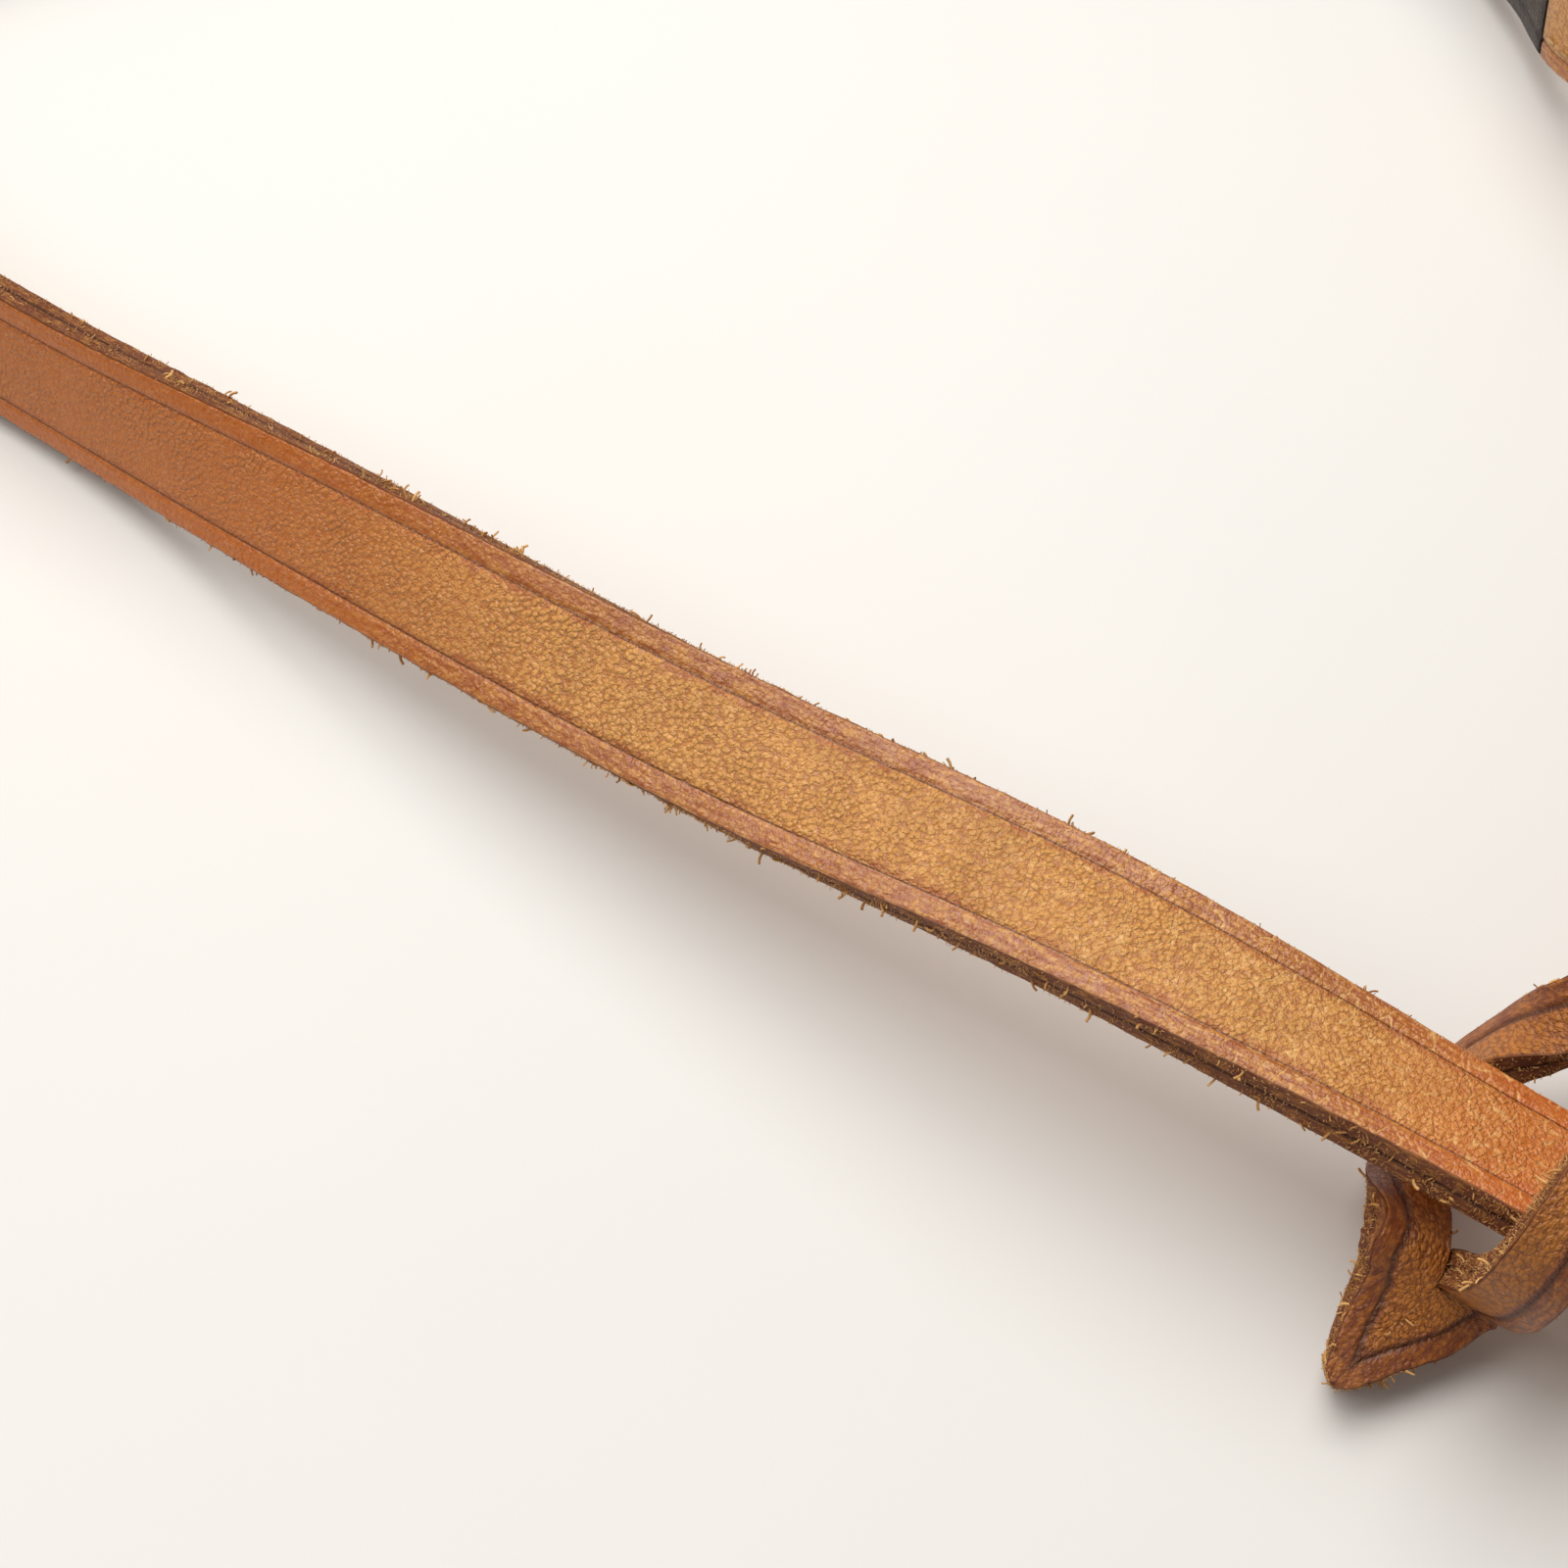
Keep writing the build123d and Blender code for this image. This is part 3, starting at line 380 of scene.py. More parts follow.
# %% [markdown]
# ## Brass, thread and loose fibre
# Solid brass is polished when new and then picks up fine scratches and a brownish film, so its
# roughness and colour both follow noise. Waxed thread is dull and slightly lighter than the
# leather. The fibres that stand up from a cut edge are undyed collagen, pale and matt.
# %% The small materials
def plain(name, light, dark, scale, rough, metal=0.0, sheen_bump=0.0):
    """A material that wanders between two tones."""
    material = bpy.data.materials.new(name)
    material.use_nodes = True
    tree = material.node_tree
    shader = tree.nodes["Principled BSDF"]
    where = node(tree, "ShaderNodeTexCoord").outputs["Object"]
    cloud = spread(tree, noisy(tree, where, scale, 4.0, 0.6), 0.35, 0.65)
    tree.links.new(mixed(tree, cloud, dark, light), shader.inputs["Base Color"])
    tree.links.new(spread(tree, noisy(tree, where, scale * 3.1, 5.0, 0.6), 0.3, 0.7, rough + 0.12, rough),
                   shader.inputs["Roughness"])
    shader.inputs["Metallic"].default_value = metal
    if sheen_bump:
        scratches = noisy(tree, stretched(tree, where, (1.0, 9.0, 3.0)), scale * 6.0, 3.0)
        bump = node(tree, "ShaderNodeBump", {"Height": scratches, "Strength": sheen_bump,
                                             "Distance": 0.00005})
        tree.links.new(bump.outputs[0], shader.inputs["Normal"])
    return material


brass = plain("polished_brass", (0.86, 0.60, 0.24, 1.0), (0.60, 0.36, 0.12, 1.0), 90.0, 0.18, 1.0, 0.35)
thread = plain("waxed_thread", (0.52, 0.33, 0.15, 1.0), (0.36, 0.20, 0.08, 1.0), 900.0, 0.62)
fibre = plain("raw_fibre", (0.90, 0.52, 0.19, 1.0), (0.50, 0.22, 0.06, 1.0), 500.0, 0.85)
print("small materials:", [m.name for m in (brass, thread, fibre)])


# %% [markdown]
# ## A strap's route
# A strap is a ribbon on a path: it may bend, twist about its own line and stand on edge, but it
# hardly stretches. The path is a smooth curve through a few knots, each with a height and a roll.
# From it come frames: a point, the way along, the width direction and the normal of the face. Roll
# 0 leaves the face up, and roll 90 stands the strap on its edge.
# %% Routes and frames
def track(knots, step):
    """Evenly spread stations (point, roll) on a smooth curve through knots (x, y, z, roll)."""
    points = [Vector(k[:3]) for k in knots]
    rolls = [k[3] for k in knots]
    out = []
    for i in range(len(points) - 1):
        a, b = points[i], points[i + 1]
        before = points[i - 1] if i else a - (b - a)
        after = points[i + 2] if i + 2 < len(points) else b + (b - a)
        span = (b - a).length
        ta = (b - before) * (span / (span + (a - before).length))
        tb = (after - a) * (span / (span + (b - after).length))
        r0 = rolls[i - 1] if i else rolls[i]
        r3 = rolls[i + 2] if i + 2 < len(rolls) else rolls[i + 1]
        count = max(2, round(span / step))
        for j in range(count + (i == len(points) - 2)):
            u = j / count
            h1, h2 = 2 * u**3 - 3 * u**2 + 1, u**3 - 2 * u**2 + u
            h3, h4 = -2 * u**3 + 3 * u**2, u**3 - u**2
            turn = 0.5 * ((rolls[i + 1] - r0) * h2 + (r3 - rolls[i]) * h4)
            out.append((a * h1 + ta * h2 + b * h3 + tb * h4, rolls[i] * h1 + rolls[i + 1] * h3 + turn))
    return out


def frames(knots, step=1.5, start_dir=None, end_dir=None):
    """Stations (distance, point, along, width, normal) on the route through the knots."""
    stations = track(knots, step)
    out, s = [], 0.0
    for i, (point, roll) in enumerate(stations):
        ahead = stations[min(i + 1, len(stations) - 1)][0]
        behind = stations[max(i - 1, 0)][0]
        along = (ahead - behind).normalized()
        if i == 0 and start_dir:
            along = Vector(start_dir).normalized()
        if i == len(stations) - 1 and end_dir:
            along = Vector(end_dir).normalized()
        if i:
            s += (point - stations[i - 1][0]).length
        up = (UP - along * along.z).normalized()
        side = up.cross(along)
        c, k = math.cos(math.radians(roll)), math.sin(math.radians(roll))
        out.append((s, point, along, side * c + up * k, up * c - side * k))
    return out


def straight(start, direction, width_dir, length, step=1.2):
    """The frames of a straight strap."""
    count = round(length / step)
    return [(length * i / count, start + direction * (length * i / count), direction, width_dir,
             direction.cross(width_dir)) for i in range(count + 1)]


def station(route, s):
    """The frame at distance s, between the stored ones."""
    i = min(max(bisect_left([r[0] for r in route], s), 1), len(route) - 1)
    a, b = route[i - 1], route[i]
    u = (s - a[0]) / (b[0] - a[0])
    return (s, a[1].lerp(b[1], u), *(a[k].lerp(b[k], u).normalized() for k in (2, 3, 4)))


def spaced(start, stop, step):
    """Numbers from start to stop, both kept, about a step apart."""
    count = max(1, round(abs(stop - start) / step))
    return [start + (stop - start) * i / count for i in range(count + 1)]


print("route helpers ready")


# %% [markdown]
# ## Two plies, turned round a ring
# Where a strap holds a ring, its outer ply is wrapped round the wire and brought back under itself,
# and the inner ply stops short to make room. The plies close up over `TURN` millimetres from the
# wire, and the turned end runs on for `TURN_END` beyond. So one route gives two lists of
# cross-sections. The outer one starts on the underside, goes round the first wire, along the face
# and round the last.
# %% Sections of the outer and the inner ply
LIFT_OFF = 0.9
BEND_STEPS = 18


def closing(reach):
    """1 beside the wire of a turned end, falling smoothly to 0 where the plies lie together."""
    u = min(reach / TURN, 1.0)
    return 1 - u * u * (3 - 2 * u)


def doubled(route, width, start=None, end=None, side=1, point=0.0, step=1.3):
    """Sections (centre, along, across, width) of both plies. start and end are (wire, gap, width there)."""
    total = route[-1][0]
    radii = [e and e[0] / 2 + e[1] + PLY / 2 for e in (start, end)]

    def off(s):
        return max([BASE] + [BASE + (radius - BASE) * closing(reach)
                             for reach, radius in zip((s, total - s), radii) if radius])

    def wide(s):
        out = min([width] + [width + (e[2] - width) * closing(reach)
                             for reach, e in zip((s, total - s), (start, end)) if e])
        if point and total - s < point:
            out = width * (0.30 + 0.70 * ((total - s) / point) ** 0.6)
        return out

    def cut(s, way=1):
        _, p, t, w, n = station(route, s)
        return p + n * side * off(s) * way, t * way, w, wide(s)

    def bend(radius, last):
        _, p, t, w, n = route[-1 if last else 0]
        away = 1 if last else -1
        for i in range(BEND_STEPS + 1):
            a = away * (math.pi / 2 - math.pi * i / BEND_STEPS)
            yield (p + t * away * radius * math.cos(a) + n * side * radius * math.sin(a),
                   t * math.sin(a) - n * side * away * math.cos(a), w, wide(total if last else 0.0))

    close = TURN + TURN_END
    outer = []
    if start:
        outer += [cut(s, -1) for s in spaced(close, LIFT_OFF, step)] + list(bend(radii[0], False))
    outer += [cut(s) for s in spaced(LIFT_OFF if start else 0.0, total - (LIFT_OFF if end else 0.0), step)]
    if end:
        outer += list(bend(radii[1], True))
        outer += [cut(s, -1) for s in spaced(total - LIFT_OFF, total - close, step)]
    low = close + 0.4 if start else 0.0
    high = total - close - 0.4 if end else total
    inner = []
    for s in spaced(low, high, step):
        _, p, t, w, n = station(route, s)
        inner.append((p - n * side * BASE, t, w, wide(s)))
    return outer, inner


print("a turned end closes over", TURN, "mm")

# %% [markdown]
# ## From sections to a leather skin
# Each cross-section is given the outline of a real strap: flat at the glued side, with square raw
# sides, softly rounded corners, a slightly crowned face and a groove pressed where the creasing
# iron ran. The outlines are joined into one closed mesh. The cut sides wander a little, because no
# knife runs dead true. The mesh keeps a UV map in centimetres and the attribute `rim`.
# %% The outline of one ply
CORNER = 0.30
EDGE_STEP = 0.04
CREASE_DEEP = 0.17
CREASE_WIDE = 0.24
SLIT_CORNER = 0.22


def corner_side(half, thick, r, creased):
    """One raw side of the outline, from the glued face's middle up to the edge of the face."""
    top = r if creased else 2 * half - r
    side = [(0.0, -thick / 2, -thick - half), (half / 2, -thick / 2, -thick - half / 2),
            (half - r / 3, -thick / 2, -thick - r / 3), (half, -thick / 2 + r / 3, -thick + r / 3),
            (half, -0.18 * thick, -0.68 * thick), (half, 0.08 * thick, -0.42 * thick)]
    for i, rim in enumerate((-r, -r / 3, r / 3, top)):
        a = math.pi / 6 * i
        side.append((half - r + r * math.cos(a), thick / 2 - r + r * math.sin(a), rim))
    side.append((half - r - EDGE_STEP, thick / 2, top + EDGE_STEP if creased else top))
    return side


def outline(width, thick, creases, count, slit=None):
    """Points (across, up, rim), counter-clockwise from the middle of the glued side.
    slit is the corner radius of an uncreased side, where a half-width strip meets its other half."""
    half = width / 2
    r = min(CORNER, width / 8)
    plus, minus = (r if creased or slit is None else slit for creased in creases)
    whole = creases[0] == creases[1]
    right = corner_side(half, thick, plus, creases[0] or whole)
    left = corner_side(half, thick, minus, creases[1] or whole)
    face = []
    for i in range(1, count):
        u = (half - plus - EDGE_STEP) + (2 * half - plus - minus - 2 * EDGE_STEP) * -i / count
        v = thick / 2 + (0.10 * (1 - (u / half) ** 2) * min(1.0, half / 3) if whole else 0.0)
        for way, creased in zip((1, -1), creases):
            if creased:
                at = (half - u * way - CREASE_AT) / CREASE_WIDE
                fade = min(max((half - 0.6) / 1.4, 0.0), 1.0) if whole else min(max(half - 0.5, 0.0), 1.0)
                v -= CREASE_DEEP * fade * math.exp(-at * at)
        face.append((u, v, half - abs(u) if whole else half - u * (1 if creases[0] else -1)))
    return right + face + [(-u, v, rim) for u, v, rim in left[:0:-1]]


# %% Join the outlines into a mesh
def skin(name, strips, material, thick=PLY, closed=False, seed=0.0):
    """One mesh from strips (sections, outward side, creases, points across the face, half).
    half is 0 for a whole strap, or 1 or -1 for the half of a strap beside a slit."""
    points, faces, maps, rims, smooth = [], [], [], [], []
    for sections, outward, creases, count, half in strips:
        base, gone, last = len(points), 0.0, None
        lines = []
        for centre, along, across, width, *slit in sections:
            normal = along.cross(across)
            gone += (centre - last).length if last else 0.0
            last = centre
            run, girth, before = [], 0.0, None
            for u, v, rim in outline(width, thick, creases, count, *slit):
                spot = Vector((u, v))
                girth += (spot - before).length if before else 0.0
                before = spot
                if abs(u) > width / 2 - CORNER:
                    rough = noise.noise(Vector((gone * 0.9, v * 1.3, seed + (7.0 if u > 0 else 0.0))))
                    fine = noise.noise(Vector((gone * 3.1, v * 3.0, seed + (3.0 if u > 0 else 9.0))))
                    loose = 1.0 if not slit or creases[0 if u > 0 else 1] else slit[0] / SLIT_CORNER
                    u += (0.085 * rough + 0.05 * fine) * (1 if u > 0 else -1) * loose
                points.append(centre + (across * u + normal * v) * outward)
                rims.append(rim)
                run.append(girth)
            run.append(girth + run[1])
            middle = run[len(run) // 2] - half * outward * width / 2
            lines.append((gone, [g - middle for g in run]))
        rings, ring_size = len(sections), len(run) - 1
        for i in range(rings if closed else rings - 1):
            k = (i + 1) % rings
            ahead = lines[k][0] if k else lines[i][0] + (sections[0][0] - sections[-1][0]).length
            for j in range(ring_size):
                m = (j + 1) % ring_size
                faces.append((base + i * ring_size + j, base + i * ring_size + m,
                              base + k * ring_size + m, base + k * ring_size + j))
                maps += [(lines[i][0], lines[i][1][j]), (lines[i][0], lines[i][1][j + 1]),
                         (ahead, lines[k][1][j + 1]), (ahead, lines[k][1][j])]
                smooth.append(True)
        if not closed:
            for i in (0, rings - 1):
                cap = [base + i * ring_size + j for j in range(ring_size)]
                girths = lines[i][1][:-1]
                faces.append(tuple(cap[::-1] if i == 0 else cap))
                maps += [(lines[i][0], v) for v in (girths[::-1] if i == 0 else girths)]
                smooth.append(False)
    mesh = bpy.data.meshes.new(name)
    mesh.from_pydata([in_row(p) for p in points], [], faces)
    mesh.polygons.foreach_set("use_smooth", smooth)
    chart = mesh.uv_layers.new(name="strap")
    chart.data.foreach_set("uv", [c / 100 for pair in maps for c in pair])
    mesh.attributes.new("rim", "FLOAT", "POINT").data.foreach_set("value", rims)
    mesh.materials.append(material)
    return placed(name, mesh)


ends_of = {}


def strap(label, plies, body, materials, side=1, creases=(True, True), count=44, seed=0.0):
    """Builds both plies of a strap, in place of the CAD's plain ones, and keeps its sections."""
    outer, inner = plies
    made = []
    for part, sections, outward, material in (("face", outer, side, materials[0]),
                                              ("back", inner, -side, materials[1])):
        piece = skin(f"{label}_{part}_leather", [(sections, outward, creases, count, 0)], material,
                     seed=seed + (0.0 if part == "face" else 31.0))
        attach(piece, body)
        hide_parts(f"{label}_{part}")
        made.append(piece)
    ends_of[label] = (outer, inner, side)
    length = sum((b[0] - a[0]).length for a, b in zip(outer, outer[1:]))
    print(label, "length", round(length, 1), "mm of leather")
    return made


# %% [markdown]
# ## The throat lash
# This is the long strap across the middle. It rises from the off-side ring, stands nearly on its
# edge where it leaves the ring, lays itself over the far leg of the jaw strap's slit, dips under
# the near leg, and climbs to the snap hook. The same knots as in the CAD give its route.
# %% Build the throat lash
CHEEK_HALF = 10.0
CHEEK_X = 203.0
STRAP_Z = 11.2
SNAP_EYE_X = 160.0
SNAP_Z = 22.0
SNAP_WIRE = 3.2
CHEEK_END = (WIRE, LOOP_GAP, STRAP_W)

lash_route = frames([
    (-CHEEK_X, 0, 2 * CHEEK_HALF + WIRE / 2, 0), (-176, 0.5, 10.5, 42), (-150, 1.1, 6.8, 70),
    (-110, -0.8, 9.4, 49), (-70, -2.2, 12.2, 26), (-35, -1.8, 15.0, 4), (0, -1, 13.1, -17),
    (35, 0, 10.2, -9), (80, 0, 7.0, 0), (118, 0, 10.0, 0), (144, 0, 19.4, 0), (SNAP_EYE_X, 0, SNAP_Z, 0)],
    step=1.2, start_dir=(1, 0, -0.35), end_dir=(1, 0, 0))
lash_plies = doubled(lash_route, STRAP_W, CHEEK_END, (SNAP_WIRE, LOOP_GAP, STRAP_W), step=1.1)
strap("throat_lash", lash_plies, "harness", (lash_leather, tan_leather), count=52, seed=1.0)

# %% [markdown]
# ## The jaw strap and its slit
# Near its pointed end the jaw strap is slit down the middle, and the throat lash goes through. The
# slit makes two legs: the near one rides over the lash and the far one passes beneath. To keep the
# leather unbroken from the point to the ring, the strap is built as two half-width strips. They lie
# side by side where the strap is whole and part from each other along the slit.
# %% The slit's two legs
CHIN = Vector((19.0, 97.0, 33.0))
CHIN_R = 16.0
CHIN_END_TURN = (WIRE, ROUND_GAP, ROUND_W)
SLIT_NEAR = Vector((-1.9, -9.2, 6.2))
SLIT_FAR = Vector((2.7, 14.5, 15.6))
TIP = Vector((-4.1, -19.0, 2.4))
SLIT_OPEN = 0.6
FAR_TWIST = math.radians(-72.0)
TWIST_SPAN = 0.36
CLOSED_CORNER = 0.015
SLIT_T = Vector((0.16, 0.80, 0.56)).normalized()
SLIT_W = Vector((-0.80, 0.0, 0.60))
SLIT_W = (SLIT_W - SLIT_T * SLIT_W.dot(SLIT_T)).normalized()
CHIN_END = CHIN - Vector((CHIN.x, CHIN.y, 0.0)).normalized() * CHIN_R
FAR_T = (CHIN_END - SLIT_FAR).normalized()
FAR_W = UP.cross(FAR_T).normalized()


def gentle(points, count):
    """Evenly spaced samples of a smooth curve drawn towards the points, meeting the first and the last."""
    p = [points[0]] * 2 + list(points) + [points[-1]] * 2
    dense = []
    for i in range(len(p) - 3):
        for j in range(30):
            u = j / 30
            dense.append((p[i] * (1 - u) ** 3 + p[i + 1] * (3 * u**3 - 6 * u**2 + 4)
                          + p[i + 2] * (-3 * u**3 + 3 * u**2 + 3 * u + 1) + p[i + 3] * u**3) / 6)
    dense.append(points[-1])
    gone = [0.0]
    for a, b in zip(dense, dense[1:]):
        gone.append(gone[-1] + (b - a).length)
    out = []
    for i in range(count + 1):
        target = gone[-1] * i / count
        k = min(max(bisect_left(gone, target), 1), len(gone) - 1)
        out.append(dense[k - 1].lerp(dense[k], (target - gone[k - 1]) / max(gone[k] - gone[k - 1], 1e-9)))
    return out


def leg(points, twist=0.0, count=46):
    """Sections of one leg, from the slit's near end to its far end. twist turns it round its line."""
    points = [Vector(p) for p in points]
    points.insert(1, points[0] + SLIT_T * 1.6)
    points.insert(-1, points[-1] - FAR_T * 2.6)
    fine = gentle(points, count)
    out = []
    for j, p in enumerate(fine):
        t = (fine[min(j + 1, count)] - fine[max(j - 1, 0)]).normalized()
        w = SLIT_W.lerp(FAR_W, j / count)
        w = (w - t * w.dot(t)).normalized()
        u = min(j / count / TWIST_SPAN, (1 - j / count) / TWIST_SPAN, 1.0)
        turn = twist * u * u * (3 - 2 * u)
        opened = min(1.0, j / 3, (count - j) / 3)
        out.append((p, t, w * math.cos(turn) + t.cross(w) * math.sin(turn),
                    (STRAP_W - opened * SLIT_OPEN) / 2,
                    CLOSED_CORNER + (SLIT_CORNER - CLOSED_CORNER) * opened))
    return out


quarter = STRAP_W / 4
near_leg = leg([SLIT_NEAR - SLIT_W * quarter, (3.2, -9.6, 9.4), (5.0, -11.6, 16.4), (5.9, -7.4, 22.0),
                (6.2, 0.6, 20.8), (6.0, 7.8, 17.6), SLIT_FAR - FAR_W * quarter])
far_leg = leg([SLIT_NEAR + SLIT_W * quarter, (-7.0, -4.0, 6.6), (-8.6, 3.0, 4.4), (-7.0, 9.4, 7.0),
               SLIT_FAR + FAR_W * quarter], FAR_TWIST)
for which, sections in (("near leg", near_leg), ("far leg", far_leg)):
    print(which, round(sum((b[0] - a[0]).length for a, b in zip(sections, sections[1:])), 1), "mm")

# %% The pointed end and the run to the chin ring
POINT_LENGTH = 11.0
POINT_W = 2.0


def tab_sections():
    """The pointed end, curling down to the table. Its sides round in to a blunt point."""
    flat = Vector((-1.0, 0.0, 0.14))
    curl = gentle([TIP, TIP + Vector((0.5, 3.4, 1.3)), SLIT_NEAR - SLIT_T * 2.6,
                   SLIT_NEAR - SLIT_T * 1.2], 24)
    curl += [SLIT_NEAR - SLIT_T * 0.6]
    out, s = [], 0.0
    for j, p in enumerate(curl):
        s += (p - curl[j - 1]).length if j else 0.0
        t = (curl[min(j + 1, len(curl) - 1)] - curl[max(j - 1, 0)]).normalized()
        w = flat.lerp(SLIT_W, min(s / 9.5, 1.0))
        taper = POINT_W + (STRAP_W - POINT_W) * min(s / POINT_LENGTH, 1.0)
        out.append((p, t, (w - t * w.dot(t)).normalized(), taper * min((s + 0.06) / 0.9, 1.0) ** 0.5))
    return out


def halved(sections, which):
    """One half of a whole strap's sections. which is 1 for the near half and -1 for the far one."""
    return [(p - w * (which * wide / 4), t, w, wide / 2, CLOSED_CORNER) for p, t, w, wide in sections]


def ply_of(sections, height):
    """Sections moved along their normal, from the strap's middle to a ply's middle."""
    return [(p + t.cross(w) * height, t, w, *rest) for p, t, w, *rest in sections]


run_route = straight(SLIT_FAR, FAR_T, FAR_W, (CHIN_END - SLIT_FAR).length)
run_outer, run_inner = doubled(run_route, STRAP_W, None, CHIN_END_TURN, step=1.1)
for part, height, run in (("face", BASE, run_outer), ("back", -BASE, run_inner)):
    strips = []
    for which, middle in ((1, near_leg), (-1, far_leg)):
        whole = (halved(ply_of(tab_sections(), height), which) + ply_of(middle, height)
                 + halved(run[1:], which))
        strips.append((whole, 1 if part == "face" else -1,
                       (which < 0, which > 0) if part == "face" else (which > 0, which < 0), 26, which))
    jaw = skin(f"jaw_strap_{part}_leather", strips, jaw_shaded_leather, seed=5.0 + height)
    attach(jaw, "jaw_strap")
    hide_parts(f"jaw_strap_{part}")
    print(jaw.name, len(jaw.data.polygons), "faces")
ends_of["jaw_strap"] = (run_outer, run_inner, 1)

# %% [markdown]
# ## The nose strap, its pad and the chin straps
# The nose strap is wider than the rest and lies face down on the table between the two nose rings.
# A soft pad is sewn to its inside. Two short straps run from the tops of the nose rings up to the
# round chin ring, where the jaw strap ends too.
# %% Build the nose strap and the chin straps
NOSE_HALF = 12.5
NOSE_TALL = 28.0
NOSE_FOOT_Z = PLY + LOOP_GAP + NOSE_WIRE / 2 + 0.16
NOSE_LEFT = Vector((-38.0, 124.0, 0.0))
NOSE_RIGHT = Vector((76.0, 124.0, 0.0))
NOSE_TURN = math.radians(13.0)
NOSE_END = (NOSE_WIRE, LOOP_GAP, STRAP_W)


def nose_bar(side):
    """Centre and horizontal direction of a nose ring; side is -1 on the left and 1 on the right."""
    a = -side * NOSE_TURN
    return (NOSE_LEFT if side < 0 else NOSE_RIGHT), Vector((math.sin(a), math.cos(a), 0.0))


nose_mid = PLY + GLUE / 2 + 0.25
nose_y = NOSE_LEFT.y
nose_knots = [(NOSE_LEFT.x, nose_y, NOSE_FOOT_Z, 0), (NOSE_LEFT.x + TURN, nose_y, nose_mid + 0.35, 0),
              (NOSE_LEFT.x + 20, nose_y, nose_mid, 0),
              ((NOSE_LEFT.x + NOSE_RIGHT.x) / 2, nose_y, nose_mid, 0),
              (NOSE_RIGHT.x - 20, nose_y, nose_mid, 0), (NOSE_RIGHT.x - TURN, nose_y, nose_mid + 0.35, 0),
              (NOSE_RIGHT.x, nose_y, NOSE_FOOT_Z, 0)]
nose_route = frames(nose_knots, start_dir=(math.cos(NOSE_TURN), -math.sin(NOSE_TURN), 0),
                    end_dir=(math.cos(NOSE_TURN), math.sin(NOSE_TURN), 0))
nose_turn = (NOSE_WIRE, LOOP_GAP, NOSE_W)
strap("nose_strap", doubled(nose_route, NOSE_W, nose_turn, nose_turn, side=-1), "harness",
      (tan_leather, dark_leather), side=-1, seed=11.0)

for side, label in ((-1, "chin_strap_left"), (1, "chin_strap_right")):
    centre, bar_way = nose_bar(side)
    top = centre + UP * (NOSE_FOOT_Z + NOSE_TALL)
    inward = Vector((CHIN.x - centre.x, CHIN.y - centre.y, 0.0)).normalized()
    end = CHIN - inward * CHIN_R
    chin_knots = [(*p, 0) for p in (top, top * 0.7 + end * 0.3 + UP * 1.1, (top + end) / 2 + UP * 1.5, end)]
    chin_route = frames(chin_knots, step=1.2, start_dir=(-side * bar_way.y, side * bar_way.x, 0),
                        end_dir=inward)
    strap(label, doubled(chin_route, STRAP_W, NOSE_END, CHIN_END_TURN), "harness",
          (tan_leather, tan_leather), seed=13.0 + side)

# %% [markdown]
# ## The cheekpieces
# Off the head, a headcollar's cheekpieces stand on their edges and bow outwards between the rings,
# because a doubled strap bends easily across its face and hardly at all the other way.
# %% Build the cheekpieces
for side, label in ((-1, "cheekpiece_left"), (1, "cheekpiece_right")):
    centre, bar_way = nose_bar(side)
    bar = centre - bar_way * NOSE_HALF
    bow = {-1: [(-49, 111.8, 11.0, 90), (-58, 119.6, 9.6, 90), (-76, 130.5, 7.6, 90), (-112, 126, 6.3, 90),
                (-160, 88, 6.3, 90), (-193, 44, 7.4, 90)],
           1: [(88, 112.6, 11.0, 90), (98, 120.5, 9.4, 90), (122, 133, 7.0, 90), (156, 120, 6.3, 90),
               (188, 78, 6.3, 90), (200, 42, 7.4, 90)]}[side]
    cheek_knots = [(bar.x, bar.y, 13.4, 90)] + bow + [(side * CHEEK_X, CHEEK_HALF, STRAP_Z, 90)]
    cheek_route = frames(cheek_knots, start_dir=(side, 0, 0), end_dir=(0, -1, 0))
    strap(label, doubled(cheek_route, STRAP_W, NOSE_END, CHEEK_END), "harness",
          (tan_leather, dark_leather), seed=17.0 + side)

# %% [markdown]
# ## The headpiece and the buckle strap
# The headpiece goes over the horse's poll, behind the ears. Its pointed end has a row of holes and
# is held by a small roller buckle on a short strap from the near-side ring. The holes are cut with
# a Boolean from plain pegs, after the skin is made, because a punch does just that.
# %% Build the headpiece and punch its holes
BILLET_DIR = Vector((-0.22, -0.975, 0.0)).normalized()
BILLET_OUT = Vector((0.975, -0.22, 0.0)).normalized()
BILLET_LENGTH = 46.0
HEEL = Vector((CHEEK_X, -CHEEK_HALF, STRAP_Z)) + BILLET_DIR * BILLET_LENGTH
BUCKLE_WIRE = 2.6
HOLE_S = 4.6
HOLE_PITCH = 22.0
POINT = 9.0
TAIL_OUT = {40: 0.0, 27: 1.3, 15: 2.6, 7: 4.3, 0: 5.1, -7: 4.7, -14: 3.7, -24: 3.7, -32: 3.7}
DROP = {40: 1.4, 27: 0.4}


def at_buckle(s, n, z=0.0):
    """A point s beyond the heel bar towards the poll, n outwards, z up from the strap's middle."""
    return HEEL + BILLET_DIR * s + BILLET_OUT * n + UP * z


